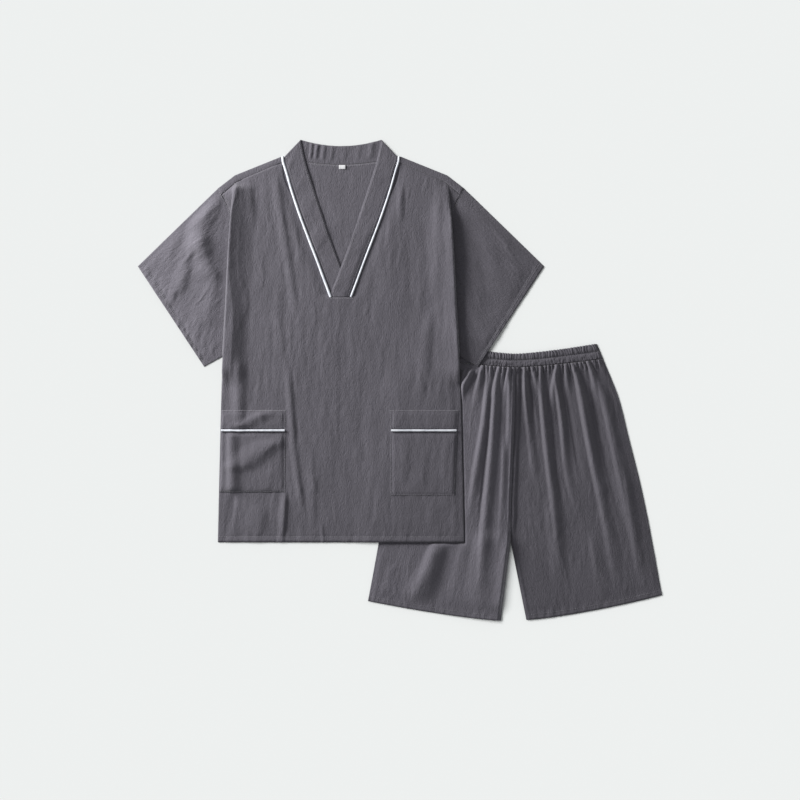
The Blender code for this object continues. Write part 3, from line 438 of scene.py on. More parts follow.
def leg_relief(name, u, v, x, y):
    """How high a front leg panel stands over its base, how open each place lies to the air, and the painted
    shade and highlight of its gathers.
    """
    below = BAND_FOOT_MIDDLE_Y + 0.016 * u**ROW_BEND - y
    gathers = np.zeros(x.shape)
    for at_band, lower, half_width, height, reach in GATHERS[name]:
        middle = at_band + (lower - at_band) * below / 0.030 * (1 - 0.25 * np.clip(below / reach, 0, 1))
        fade = np.exp(-((np.maximum(below, 0) / reach) ** 2))
        wide = half_width * (1 + 1.2 * np.clip(below / reach, 0, 1))
        gathers = np.maximum(gathers, 1.25 * height * leaning_ridge(x - middle, wide) * fade)
    gathers *= 1.30 + 0.40 * eased(below / 0.010)
    between = 1 - np.abs(value_noise(u * 44 + below * 60, below / 0.03, 71))
    small = 0.0026 * between**4 * np.exp(-((below / 0.017) ** 2))
    folds = np.zeros(x.shape)
    for top_y, foot_y, x_by_thirds, half_width, height in LEG_FOLDS[name]:
        down = (top_y - y) / (top_y - foot_y)
        middle = curve(tuple(zip((0, 1 / 3, 2 / 3, 1), x_by_thirds)), down)
        wide = half_width * (1 + 0.6 * np.clip(down, 0, 1))
        uneven = 1 + 0.35 * value_noise(down * 3, down * 0 + height * 9000, 74)
        folds += (
            height * (1.25 - (0.9 if name == "right" else 0.6) * np.clip(down, 0, 1)) * uneven
            * leaning_ridge(x - middle, wide) * eased(down * 5) * eased((1 - down) * 3)
        )
    swell = 0.0016 * (value_noise(u * 7, v * 2.2, 72) + 0.6) * eased(below / 0.05)
    from_seam = np.abs(x - x[:, :1])
    above_crotch = eased((y - CROTCH[1]) / 0.03)
    seam = (0.2 + 0.6 * above_crotch + (0.8 - 0.6 * above_crotch) * eased(u / 0.03)) * eased((1 - u) / 0.05)
    if name == "left":
        heaped = SEAM_HEAP * (1 - 0.40 * above_crotch) * np.clip(1 - from_seam / 0.12, 0, 1)
    else:
        heaped = 0.0045 * (1 - eased(from_seam / 0.010))
    pressed_seam = 0.0011 * ridge(from_seam - 0.0050, 0.0020) * eased((y - CROTCH[1] - 0.02) / 0.03)
    lift = (0.0010 if name == "right" else 0.0014) * eased(below / 0.045)
    relief = (gathers + small + folds + np.maximum(swell, 0) + lift + heaped) * seam + pressed_seam
    from_hem = (1 - v) * LEG_HEIGHT
    puckers = 0.0006 * value_noise(u * 46, from_hem / 0.02, 73) * ridge(from_hem - HEM_STITCH, 0.010)
    groove = -0.0007 * ridge(from_hem - HEM_STITCH, 0.0030)
    doubled = 0.0006 * eased((HEM_STITCH + 0.003 - from_hem) / 0.002)
    relief = relief * (0.45 + 0.55 * eased((from_hem - 0.006) / 0.03)) + doubled + groove + puckers
    hidden = covered(x, y)
    # Painted shade and highlight for the crest attribute: lower in the pits between the gathers under the
    # waistband, so they stay darker, and higher on the gathers' tops, so they come out lighter
    painted_gather_shading = (gathers / 0.0045 - 0.45) * np.exp(-((np.maximum(below, 0) / 0.045) ** 2))
    painted_gather_shading += ((gathers + small) / 0.0040 - 0.80) * np.exp(-((np.maximum(below, 0) / 0.016) ** 2))
    return relief * (1 - hidden) + np.minimum(relief, COVERED_RELIEF) * hidden, 1 - hidden, painted_gather_shading


def front_leg(name):
    """One front panel of the shorts. Returns its object and its points."""
    u, v = np.meshgrid(np.linspace(0, 1, LEG_COLUMNS), np.linspace(1, 0, LEG_ROWS))
    x, y = leg_places(name, u, v)
    relief, open_air, painted_gather_shading = leg_relief(name, u, v, x, y)
    grain = np.stack([u * LEG_WIDTH, -v * (LEG_HEIGHT + 0.01)], axis=-1)
    detail = crinkle(grain[..., 0], grain[..., 1], 10 if name == "left" else 20)
    z = FRONT_Z + relief + np.maximum(detail, CRINKLE_DIP) * (0.25 + 0.75 * open_air) * eased(v / 0.02)
    points = place_in_world(x, y, z, SHORTS_AT)
    # Painted highlight where the crinkle and folds stand out, with the gathers' painted shade and highlight
    crest = share_of(detail, CRINKLE_RISE) * 0.7 + share_of(relief, FOLD_RISE) * 0.4 + 0.8 * painted_gather_shading
    if name == "left":
        points, grain, crest = points[:, ::-1], grain[:, ::-1], crest[:, ::-1]
    return cloth_object(f"Shorts_front_{name}", points, grain, crest), points


leg_points = {}
for name in ("left", "right"):
    front, leg_points[name] = front_leg(name)
    finish_cloth(
        front, f"shorts_front_{name}",
        material=SIDE_COTTON[name]
    )

# Shorts, the waistband. A cotton casing over 25 mm elastic, which draws it into ruffles. A line of stitches
# along its middle holds the elastic, and the ruffles are sharper above it than below.

BAND_TOP_MIDDLE_Y, BAND_TOP_END_Y = 0.4955, 0.5140
BAND_FRONT_Z = 0.0034
BAND_ROUND, BAND_HEIGHT, BAND_COLUMNS, BAND_ROWS = 0.66, 0.025, 561, 29
RUFFLES = 56
BAND_END_RADIUS = (BAND_FRONT_Z - BACK_Z) / 2


def band_place(u, v, half):
    """A place in the flat on the waistband: u from side to side, v from its foot to its top."""
    foot = BAND_FOOT_MIDDLE_Y + (BAND_FOOT_END_Y - BAND_FOOT_MIDDLE_Y) * np.abs(u) ** ROW_BEND
    top = BAND_TOP_MIDDLE_Y + (BAND_TOP_END_Y - BAND_TOP_MIDDLE_Y) * np.abs(u) ** ROW_BEND
    return u * half, foot + (top - foot) * v


def waistband_points():
    """The casing as a flattened ring, with its front first. Returns its points, its grain and how its
    ruffles stand."""
    v = np.linspace(0, 1, BAND_ROWS)[:, None]
    half = BAND_HALF_FOOT + (BAND_HALF_TOP - BAND_HALF_FOOT) * v - BAND_END_RADIUS
    u = np.linspace(-1, 1, BAND_COLUMNS)[None, :]
    count = (u + 1) / 2 * RUFFLES
    phase = count + 0.50 * value_noise(count * 0.55, v * 1.6, 81) + 0.22 * value_noise(count * 1.7, v * 4, 82)
    crests = np.abs(np.sin(np.pi * phase)) ** 0.75
    size = 0.75 + 0.50 * value_noise(count * 0.8, v * 1.4, 83)
    profile = np.interp(
        v, (0, 0.10, 0.36, 0.47, 0.50, 0.53, 0.68, 0.95, 1),
        (0.7, 0.5, 0.45, 0.2, 0.05, 0.25, 1.15, 1.25, 1.1)
    )
    quiet = (1 - 0.9 * covered(u * half, BAND_FOOT_MIDDLE_Y + 0.02)) * eased((1 - np.abs(u)) / 0.03)
    centre = 1 - 0.75 * np.exp(-(((u + 0.015) / 0.016) ** 2))
    smocked = 0.0007 * value_noise(count * 1.5, v * 6, 84) * eased((0.47 - v) / 0.05) * eased(v / 0.08)
    wave = (0.0016 * crests * size * profile + smocked) * quiet * centre
    swell = (
        0.0009 * np.sin(np.pi * np.clip(v / 0.5, 0, 1)) * (v < 0.5)
        + 0.0007 * np.sin(np.pi * np.clip((v - 0.5) / 0.5, 0, 1)) * (v >= 0.5)
    )
    stitched = -0.0007 * ridge((v - 0.5) * BAND_HEIGHT, 0.0022)
    edge = -0.0008 * (1 - eased(v / 0.06)) - 0.0008 * (1 - eased((1 - v) / 0.06))
    x, y = band_place(u + 0 * v, v, half)
    y = y + 0.0011 * (crests - 0.5) * profile * eased((v - 0.75) / 0.25) * quiet
    front = np.stack([x, y, BAND_FRONT_Z + wave + (swell + stitched) * quiet + edge + 0 * u], axis=-1)
    plain = np.linspace(1, -1, 61)[None, :]
    x, y = band_place(plain + 0 * v, v, half)
    back = np.stack([x, y, BACK_Z + 0 * x], axis=-1)
    middle, turns = BACK_Z + BAND_END_RADIUS, np.radians((30, 60, 90, 120, 150))[None, :]
    ends = [
        np.stack([
            side * (half + BAND_END_RADIUS * np.sin(turns)), edge_y + 0 * turns,
            middle + side * BAND_END_RADIUS * np.cos(turns) + 0 * v], axis=-1)
        for side, edge_y in ((1, front[:, -1:, 1]), (-1, front[:, :1, 1]))
    ]
    points = np.concatenate([front, ends[0], back, ends[1]], axis=1)
    along = np.linspace(0, BAND_ROUND, points.shape[1] + 1)[None, :]
    grain = np.stack([along + 0 * v, v * BAND_HEIGHT + 0 * along], axis=-1)
    crest = np.zeros(points.shape[:2])
    crest[:, : u.shape[1]] = share_of(wave, 0.0018)
    return points, grain, crest


band_points, band_grain, band_crest = waistband_points()
band_points[..., 0] += SHORTS_AT[0]
band_points[..., 1] += SHORTS_AT[1]
waistband = cloth_object("Waistband", band_points, band_grain, band_crest, ring=True)
finish_cloth(
    waistband, "waistband"
)

# Pullover, the back. One panel of crinkled cotton under everything, climbing over the shorts below it, turned
# over the shoulders to the seams on the front. Its inside shows in the V of the neck.

UNDERARM_Y, PLEAT_FOOT_Y, PUFF_FOOT_Y = 0.3605, 0.3250, 0.2850
V_FOOT_Y, V_FOOT_HALF = 0.4557, 0.0206
SHOULDER_FOLD = ((0.1100, 0.7176), (0.1972, 0.6825), (0.2292, 0.6579))
SHOULDER_SEAM = ((0.1092, 0.7075), (0.1940, 0.6710), (0.2235, 0.6465))
V_EDGE = (
    (V_FOOT_Y, V_FOOT_HALF), (0.4872, 0.0324), (0.5214, 0.0450), (0.5642, 0.0615), (0.6088, 0.0782),
    (0.6559, 0.0939), (0.6945, 0.1050), SHOULDER_SEAM[0][::-1],
)
ARMHOLE = (
    (UNDERARM_Y, 0.1897), (0.5620, 0.1965), (0.6250, 0.2120), SHOULDER_SEAM[2][::-1], SHOULDER_FOLD[2][::-1]
)
NECK_SEAM_MIDDLE_Y, NECK_SEAM_END_Y = 0.7027, 0.7166
COLLAR_FOOT_HALF = 0.1040
FOLD_RADIUS, SIDE_ROLL = 0.0011, 0.007
SEAM_LAP = 0.0004  # how far a sewn edge goes under the one it is sewn to
EDGE_RADIUS = (FRONT_Z - BACK_Z) / 2
ARMHOLE_SHARE = 0.05  # of the back's half width, past the body's edge
PLATEAU, LEDGE, CLIMB = 0.0037, 0.012, 0.060  # how the pullover climbs over the shorts
BACK_SIDE = 48  # the back's columns on each side of the neck
# Rows over the shoulder: degrees round the fold, and then shares of the way on to the seam
SHOULDER_TURNS = (30, 60, 90, 120, 150, 180, 0.5, 0.88, 1.0)


def seam_x(y):
    """Half width of the body's sewn edge: the armhole, then the side seam, which comes out to the outline
    lower down."""
    to_side = eased((UNDERARM_Y - y) / (UNDERARM_Y - PLEAT_FOOT_Y))
    return curve(ARMHOLE, y) * (1 - to_side) + side_x(y) * to_side


def lifted(x, y, z):
    """Points of the pullover in the world, raised by the shorts under them."""
    world = place_in_world(x, y, z, TOP_AT)
    from_shorts_x, from_shorts_y = world[..., 0] - SHORTS_AT[0], world[..., 1] - SHORTS_AT[1]
    past_side = from_shorts_x + curve(SHORTS_SIDE, from_shorts_y) + LEDGE + CLIMB
    past_waist = BAND_TOP_END_Y + LEDGE + CLIMB - from_shorts_y
    world[..., 2] += PLATEAU * eased(past_side / CLIMB) * eased(past_waist / CLIMB)
    return world


def on_line(line, share):
    """Places on a line of three points, with its bend at half way, as x and y."""
    return tuple(np.interp(share, (0, 0.5, 1), [point[k] for point in line]) for k in (0, 1))


def shoulder_out(share):
    """The outward direction across a right shoulder's fold, as x and y."""
    (ax, ay), (bx, by), (cx, cy) = SHOULDER_FOLD
    lean = eased((share - 0.4) / 0.2)
    run_x, run_y = (bx - ax) * (1 - lean) + (cx - bx) * lean, (by - ay) * (1 - lean) + (cy - by) * lean
    size = np.hypot(run_x, run_y)
    return -run_y / size, run_x / size


def body_rows(low, high_count):
    """The rows of a body panel: the given heights up to the V's foot, then shares of the way to the
    shoulder."""
    high = np.linspace(0, 1, high_count + 1)[1:]
    return np.concatenate([low, np.full(high_count, V_FOOT_Y)]), np.concatenate([np.zeros(low.size), high])


def neck_seam_y(x):
    """Height of the seam at the back of the neck."""
    return NECK_SEAM_MIDDLE_Y + (NECK_SEAM_END_Y - NECK_SEAM_MIDDLE_Y) * (x / COLLAR_FOOT_HALF) ** 2


def back_points():
    """The back in rows from the hem to the shoulders' folds and over them, with columns from side to side."""
    low_y, rise = (values[:, None] for values in body_rows(np.linspace(0, V_FOOT_Y, 61), 61))
    u = np.concatenate([np.linspace(-ARMHOLE_SHARE, 0, 9)[:-1], np.linspace(0, 1, BACK_SIDE - 8)])[None, :]
    share = np.where(u < 0, 0.5 - 0.5 * u / ARMHOLE_SHARE, (1 - u) / 2)
    top_x, top_y = on_line(SHOULDER_FOLD, share)
    out_x, out_y = shoulder_out(share)
    top_x, top_y = top_x - EDGE_RADIUS * out_x, top_y - EDGE_RADIUS * out_y
    y = low_y + rise * (top_y - V_FOOT_Y)
    sewn, inner = seam_x(y), curve(V_EDGE, y)
    outer = np.minimum(side_x(y), sewn) - SIDE_ROLL
    x = np.where(u < 0, outer + (outer - sewn) * u / ARMHOLE_SHARE, outer + (inner - outer) * u)
    x = x + (top_x - x) * eased((rise - 0.7) / 0.3)
    centre = np.linspace(-1, 1, 61)[None, :]
    half = x[:, -1:]
    centre_x = centre * half * (1 - (1 - COLLAR_FOOT_HALF / SHOULDER_FOLD[0][0]) * rise)
    centre_y = np.where(
        rise > 0, V_FOOT_Y + rise * (neck_seam_y(centre * COLLAR_FOOT_HALF) - V_FOOT_Y), low_y
    )
    flat_x = np.concatenate([-x, centre_x, x[:, ::-1]], axis=1)
    flat_y = np.concatenate([y, centre_y, y[:, ::-1]], axis=1)
    from_v = curve(V_EDGE, np.maximum(flat_y, V_FOOT_Y)) - np.abs(flat_x)
    inside_v = eased((from_v + 0.01) / 0.01) * (flat_y > V_FOOT_Y - 0.02)
    soft = 0.0005 * (value_noise(flat_x / 0.05, flat_y / 0.09, 31) + 0.6)
    detail = crinkle(flat_x, flat_y, 30)
    clear = eased((0.6990 - flat_y) / 0.012)
    surface = np.clip(np.maximum(soft, 0) + detail + 0.0003, 0, 0.0013) * clear + 0.0010 * (1 - clear)
    points = lifted(flat_x, flat_y, BACK_Z + inside_v * surface)
    wrap = []
    for turn in SHOULDER_TURNS:
        row = points[-1].copy()
        for side, columns in ((-1, slice(0, u.shape[1])), (1, slice(u.shape[1] + centre.shape[1], None))):
            along = share[0] if side < 0 else share[0, ::-1]
            away_x, away_y = shoulder_out(along)
            sx, sy = on_line(SHOULDER_SEAM, along)
            seam = np.stack([
                side * sx + TOP_AT[0] - side * away_x * SEAM_LAP, sy + TOP_AT[1] - away_y * SEAM_LAP,
                FRONT_Z + 0 * sx], axis=-1)
            a = math.radians(180 if turn <= 1 else turn)
            rolled = points[-1, columns] + np.stack([
                side * away_x * EDGE_RADIUS * math.sin(a), away_y * EDGE_RADIUS * math.sin(a),
                0 * away_x + EDGE_RADIUS * (1 - math.cos(a))], axis=-1)
            if turn <= 1:
                rolled = rolled + (seam - rolled) * turn
                rolled[:, 2] = FRONT_Z + np.interp(turn, (0.5, 0.88, 1), (0.0006, 0.0008, 0.0004))
            row[columns] = rolled
        wrap.append(row)
    points = np.concatenate([points, np.array(wrap)])
    kept = np.ones((points.shape[0] - 1, points.shape[1] - 1), bool)
    kept[len(low_y) - 1 :, u.shape[1] - 1 : u.shape[1] + centre.shape[1]] = False
    grain = points[..., :2].copy()
    crest = np.zeros(points.shape[:2])
    crest[: len(low_y)] = share_of(detail, CRINKLE_RISE) * inside_v
    return points, grain, crest, kept


back_sheet, back_grain, back_crest, back_kept = back_points()
top_back = cloth_object("Top_back", back_sheet, back_grain, back_crest, kept=back_kept)
finish_cloth(
    top_back, "top_back"
)

# Pullover, the sleeves. Each is one piece of crinkled cotton folded along its top and sewn underneath, with
# its crinkle running down the arm. It lies flat, comes out from under the body's side fold, and its cuff is
# turned in and stitched.

SLEEVE_FOOT = (0.1905, 0.3630)
SLEEVE_SLANT = 28  # degrees between the crinkle and the square to the cuff
CUFF_STITCH = 0.0135
SLEEVE_LENGTH, SLEEVE_ROWS, HALF_ARMHOLE, HALF_CUFF = 0.205, 71, 0.295, 0.223
SLEEVE_FOLDS = {
    "left": (
        # top y, foot y, x at the top, a third, two thirds and the foot, widths to the left and right, height
        (0.672, 0.515, (-0.2320, -0.2530, -0.2620, -0.2560), 0.034, 0.034, 0.0068),
        (0.585, 0.480, (-0.2620, -0.2590, -0.2490, -0.2330), 0.034, 0.022, 0.0048),
        (0.565, 0.452, (-0.2800, -0.2860, -0.2930, -0.3080), 0.026, 0.015, 0.0034),
        (0.474, 0.436, (-0.3060, -0.3110, -0.3160, -0.3220), 0.014, 0.009, 0.0014),
        (0.610, 0.500, (-0.3020, -0.3090, -0.3160, -0.3240), 0.022, 0.018, 0.0012),
        (0.500, 0.385, (-0.2360, -0.2420, -0.2480, -0.2540), 0.020, 0.014, 0.0012),
        (0.425, 0.375, (-0.2620, -0.2640, -0.2670, -0.2700), 0.016, 0.010, 0.0010),
    ),
    "right": (
        (0.600, 0.440, (0.2620, 0.2750, 0.2880, 0.3000), 0.030, 0.030, 0.0012),
        (0.560, 0.420, (0.2450, 0.2510, 0.2570, 0.2620), 0.014, 0.014, 0.0007),
        (0.600, 0.480, (0.2900, 0.3050, 0.3200, 0.3350), 0.020, 0.020, 0.0010),
        (0.460, 0.390, (0.2340, 0.2430, 0.2530, 0.2620), 0.016, 0.016, 0.0007),
    ),
}


def straight_folds(table, x, y):
    """The height that a table of straight folds gives at (x, y)."""
    total = np.zeros(np.broadcast(x, y).shape)
    for top_x, top_y, foot_x, foot_y, half_width, height in table:
        down = (top_y - y) / (top_y - foot_y)
        bow = 0.10 * (foot_x - top_x) * np.sin(np.pi * np.clip(down, 0, 1) * 2)
        middle = top_x + (foot_x - top_x) * np.clip(down, 0, 1) + bow
        total += height * ridge(x - middle, half_width) * faded_ends(down)
    return total


def curved_folds(table, x, y):
    """The height that a table of curved folds gives at (x, y), each with its own fall to either side."""
    total = np.zeros(np.broadcast(x, y).shape)
    for top_y, foot_y, x_by_thirds, left_width, right_width, height in table:
        down = (top_y - y) / (top_y - foot_y)
        off = x - smooth_line(x_by_thirds, down)
        total += height * ridge(off, np.where(off < 0, left_width, right_width)) * faded_ends(down)
    return total


def smooth_line(x_by_thirds, share):
    """A smooth line through four evenly spaced places."""
    a, b, c, d = x_by_thirds
    t = np.clip(share, 0, 1) * 3
    return (a * (1 - t) * (2 - t) * (3 - t) / 6 + b * t * (2 - t) * (3 - t) / 2
            - c * t * (1 - t) * (3 - t) / 2 + d * t * (1 - t) * (2 - t) / 6)


def square_to(first, last):
    """The direction square to a line in the flat, to its left."""
    run = np.array(last) - np.array(first)
    return np.array((-run[1], run[0])) / np.linalg.norm(run)


def turned_grain(across, along):
    """Places along and across a sleeve's crinkle, which runs at a slant to the cuff."""
    slant = math.radians(SLEEVE_SLANT)
    turned = across * math.cos(slant) + along * math.sin(slant)
    return np.stack([turned, along * math.cos(slant) - across * math.sin(slant)], axis=-1)


def sleeve_points(name):
    """A sleeve as a flattened tube in rows from the armhole to the cuff, its lower layer first. Returns its
    points, its grain, its crests and the first and last columns of its upper layer."""
    side = SIGN[name]
    seam_top = np.array(SHOULDER_FOLD[2])
    fold_out, foot_out = square_to(seam_top, CUFF_TOP), -square_to(SLEEVE_FOOT, CUFF_FOOT)
    v = np.linspace(0, 1, SLEEVE_ROWS)[:, None]

    def layer(w):
        top = [seam_top[k] + (CUFF_TOP[k] - seam_top[k]) * v - fold_out[k] * EDGE_RADIUS for k in (0, 1)]
        foot = [
            SLEEVE_FOOT[k] + (CUFF_FOOT[k] - SLEEVE_FOOT[k]) * v - foot_out[k] * EDGE_RADIUS for k in (0, 1)
        ]
        seam_y = SLEEVE_FOOT[1] + w * (seam_top[1] - EDGE_RADIUS - SLEEVE_FOOT[1])
        seam = (curve(ARMHOLE, seam_y) - SEAM_LAP, seam_y)
        straight = [foot[k] + (top[k] - foot[k]) * w for k in (0, 1)]
        return [straight[k] + (seam[k] - straight[k]) * (1 - v) ** 3 for k in (0, 1)]

    def roll(x, y, out, start, stop):
        turns = np.radians(np.linspace(start, stop, 7)[1:-1])[None, :]
        return np.stack([
            side * (x + out[0] * EDGE_RADIUS * np.sin(turns)), y + out[1] * EDGE_RADIUS * np.sin(turns),
            BACK_Z + EDGE_RADIUS * (1 - np.cos(turns)) + 0 * x], axis=-1)

    under_w, over_w = np.linspace(0, 1, 41)[None, :], np.linspace(1, 0, 211)[None, :]
    ux, uy = layer(under_w)
    ox, oy = layer(over_w)
    width = HALF_ARMHOLE + (HALF_CUFF - HALF_ARMHOLE) * v
    grain = turned_grain(over_w * width, v * SLEEVE_LENGTH)
    clear = eased((ox - side_x(oy) - 0.005) / 0.018)
    edges = eased(over_w / 0.10) * eased((1 - over_w) / 0.08)
    from_cuff = (1 - v) * SLEEVE_LENGTH + 0 * over_w
    swell = value_noise(grain[..., 0] / 0.045, grain[..., 1] / 0.11, 41 if side < 0 else 42)
    swell = 0.0013 * np.maximum(swell + 0.5, 0)
    relief = (0.0010 + swell + curved_folds(SLEEVE_FOLDS[name], side * ox, oy)) * clear
    hem = eased((from_cuff - CUFF_STITCH) / 0.02)
    puckers = (
        (0.0012 if side < 0 else 0.0005) * value_noise(grain[..., 0] / 0.0065, from_cuff / 0.014, 43)
        * eased((CUFF_STITCH + 0.008 - from_cuff) / 0.010)
    )
    groove = -0.0005 * ridge(from_cuff - CUFF_STITCH, 0.0030)
    doubled = 0.0003 * eased((CUFF_STITCH + 0.002 - from_cuff) / 0.003)
    relief = (relief * (0.40 + 0.60 * hem) + np.maximum(puckers, -0.0004) + groove + doubled) * edges
    detail = crinkle(grain[..., 0], grain[..., 1], 50 if side < 0 else 60) * (1.4 if side < 0 else 0.8)
    fine = np.maximum(detail, CRINKLE_DIP) * (0.3 + 0.7 * clear) * (0.3 + 0.7 * edges)
    z = FRONT_Z + np.maximum(relief, -0.0004) + fine
    parts = [
        np.stack([side * ux, uy, BACK_Z + 0 * ux], axis=-1), roll(ux[:, -1:], uy[:, -1:], fold_out, 0, 180),
        np.stack([side * ox, oy, z], axis=-1), roll(ux[:, :1], uy[:, :1], foot_out, 180, 0),
    ]
    flat = np.concatenate(parts, axis=1)
    points = lifted(flat[..., 0], flat[..., 1], flat[..., 2])
    counts = np.cumsum([part.shape[1] for part in parts])
    round_grain = np.concatenate(
        [np.linspace(0, 1, counts[1] + 1)[:-1], over_w[0] + 1, np.linspace(2, 2.02, 6)]
    )[None, :]
    full_grain = turned_grain(round_grain * width, v * SLEEVE_LENGTH)
    crest = np.zeros(points.shape[:2])
    crest[:, counts[1] : counts[2]] = share_of(detail, CRINKLE_RISE) * 0.7 + share_of(relief, FOLD_RISE) * 0.4
    return points, full_grain, crest, (counts[1], counts[2])


sleeve_sheets = {}
for name in ("left", "right"):
    points, grain, crest, over = sleeve_points(name)
    sleeve_sheets[name] = points[:, over[0] : over[1]]
    if name == "left":
        points, grain, crest = points[:, ::-1], grain[:, ::-1], crest[:, ::-1]
    sleeve = cloth_object(f"Sleeve_{name}", points, grain, crest, ring=True)
    finish_cloth(
        sleeve, f"sleeve_{name}",
        material=SIDE_COTTON[name]
    )

# Pullover, the front. One panel of crinkled cotton below the V, cut in two above it, sewn to the back's
# shoulder strips. Its sides fold under and out again to the armholes, and lie on the sleeves. The hem is
# turned up and stitched.

EDGE_RISE, EDGE_SLOPE = 0.0134, 0.043  # how high the folded side stands, and how far in it falls
LEAST_FOLD_DEPTH = 0.008
PLAIN_PUFF, V_FOOT_RISE = 0.0006, 0.0012
TOP_HEM_STITCH = 0.0105
POCKET_COLUMN = {"left": 0.5800, "right": 0.638}
POCKET_FOOT_Y = {"left": 0.0932, "right": 0.0880}
POCKET_PIPING_Y, POCKET_TOP_Y = 0.2080, 0.2460
PIPING_RADIUS = 0.0020
PIPING_SLOT = 2 * (PIPING_RADIUS + SEAM_GAP)
SLOT_FOOT_Y, SLOT_TOP_Y = POCKET_PIPING_Y - PIPING_SLOT / 2, POCKET_PIPING_Y + PIPING_SLOT / 2
FRONT_FOLDS = (
    # top x, top y, foot x, foot y, half width, height
    (-0.176, 0.440, -0.182, 0.270, 0.016, -0.0011),
    (-0.160, 0.300, -0.166, 0.252, 0.009, -0.0006),
    (-0.118, 0.480, -0.112, 0.330, 0.014, 0.0011),
    (-0.076, 0.460, -0.074, 0.300, 0.014, 0.0008),
    (-0.098, 0.430, -0.094, 0.370, 0.010, 0.0007),
    (-0.050, 0.130, -0.048, 0.090, 0.010, 0.0013),
    (-0.030, 0.500, -0.022, 0.250, 0.018, 0.0005),
    (-0.010, 0.420, -0.012, 0.200, 0.012, 0.0005),
    (0.022, 0.420, 0.020, 0.220, 0.012, 0.0005),
    (0.110, 0.670, 0.112, 0.590, 0.010, 0.0016),
    (0.088, 0.600, 0.074, 0.540, 0.007, -0.0007),
    (0.070, 0.470, 0.060, 0.360, 0.016, 0.0008),
    (0.050, 0.450, 0.044, 0.380, 0.009, 0.0005),
    (0.128, 0.590, 0.126, 0.440, 0.010, -0.0006),
    (0.090, 0.380, 0.072, 0.280, 0.009, -0.0006),
    (0.184, 0.660, 0.172, 0.440, 0.018, 0.0022),
    (0.172, 0.440, 0.140, 0.255, 0.016, 0.0022),
    (0.156, 0.560, 0.140, 0.420, 0.012, 0.0007),
    (0.100, 0.270, 0.102, 0.250, 0.008, -0.0006),
    (0.198, 0.270, 0.197, 0.252, 0.010, -0.0006),
    (0.060, 0.290, 0.052, 0.060, 0.020, 0.0008),
    (0.070, 0.130, 0.050, 0.020, 0.010, -0.0007),
    (0.036, 0.200, 0.030, 0.080, 0.014, 0.0006),
    (0.120, 0.085, 0.116, 0.015, 0.022, 0.0008),
    (0.170, 0.085, 0.176, 0.015, 0.016, 0.0007),
    (-0.150, 0.560, -0.150, 0.460, 0.016, 0.0006),
)
FRONT_CREASES = (
    # top y, foot y, x at the top, a third, two thirds and the foot, widths to the left and right, height
    (0.715, 0.400, (-0.1210, -0.1115, -0.0950, -0.0840), 0.014, 0.011, 0.0024),
    (0.700, 0.580, (-0.1740, -0.1710, -0.1670, -0.1640), 0.012, 0.012, 0.0014),
    (0.660, 0.500, (-0.0890, -0.0855, -0.0800, -0.0750), 0.009, 0.008, 0.0012),
    (0.352, 0.200, (-0.1890, -0.1895, -0.1905, -0.1910), 0.015, 0.018, 0.0044),
    (0.335, 0.235, (-0.2080, -0.2085, -0.2090, -0.2095), 0.004, 0.006, -0.0010),
    (0.350, 0.030, (-0.1000, -0.0925, -0.0830, -0.0640), 0.011, 0.009, 0.0028),
    (0.190, 0.010, (-0.0560, -0.0540, -0.0520, -0.0500), 0.016, 0.009, 0.0014),
    (0.104, -0.020, (-0.1030, -0.1050, -0.1080, -0.1100), 0.013, 0.006, 0.0042),
    (0.038, -0.020, (-0.0355, -0.0345, -0.0325, -0.0305), 0.004, 0.003, 0.0024),
    (0.100, -0.020, (-0.1980, -0.2060, -0.2150, -0.2250), 0.018, 0.014, -0.0030),
    (0.080, -0.024, (-0.1480, -0.1510, -0.1540, -0.1570), 0.034, 0.026, 0.0030),
)


def folded_under(y):
    """How deep the side fold is at a height, as a share: 0 at the shoulder seam, and 0 again low down."""
    return eased((SHOULDER_SEAM[1][1] - y) / 0.040) * eased((y - PLEAT_FOOT_Y) / (UNDERARM_Y - PLEAT_FOOT_Y))


def fold_stack(y):
    """How high the side stands, as a share of the side fold's layers. It rises before the fold goes in."""
    return eased((SHOULDER_SEAM[1][1] - y) / 0.015) * eased((y - PUFF_FOOT_Y) / (PLEAT_FOOT_Y - PUFF_FOOT_Y))


def crease_x(y):
    """Half width at which the folded side turns back outwards."""
    return np.minimum(seam_x(y) - 0.006, side_x(y) - FOLD_RADIUS - LEAST_FOLD_DEPTH)


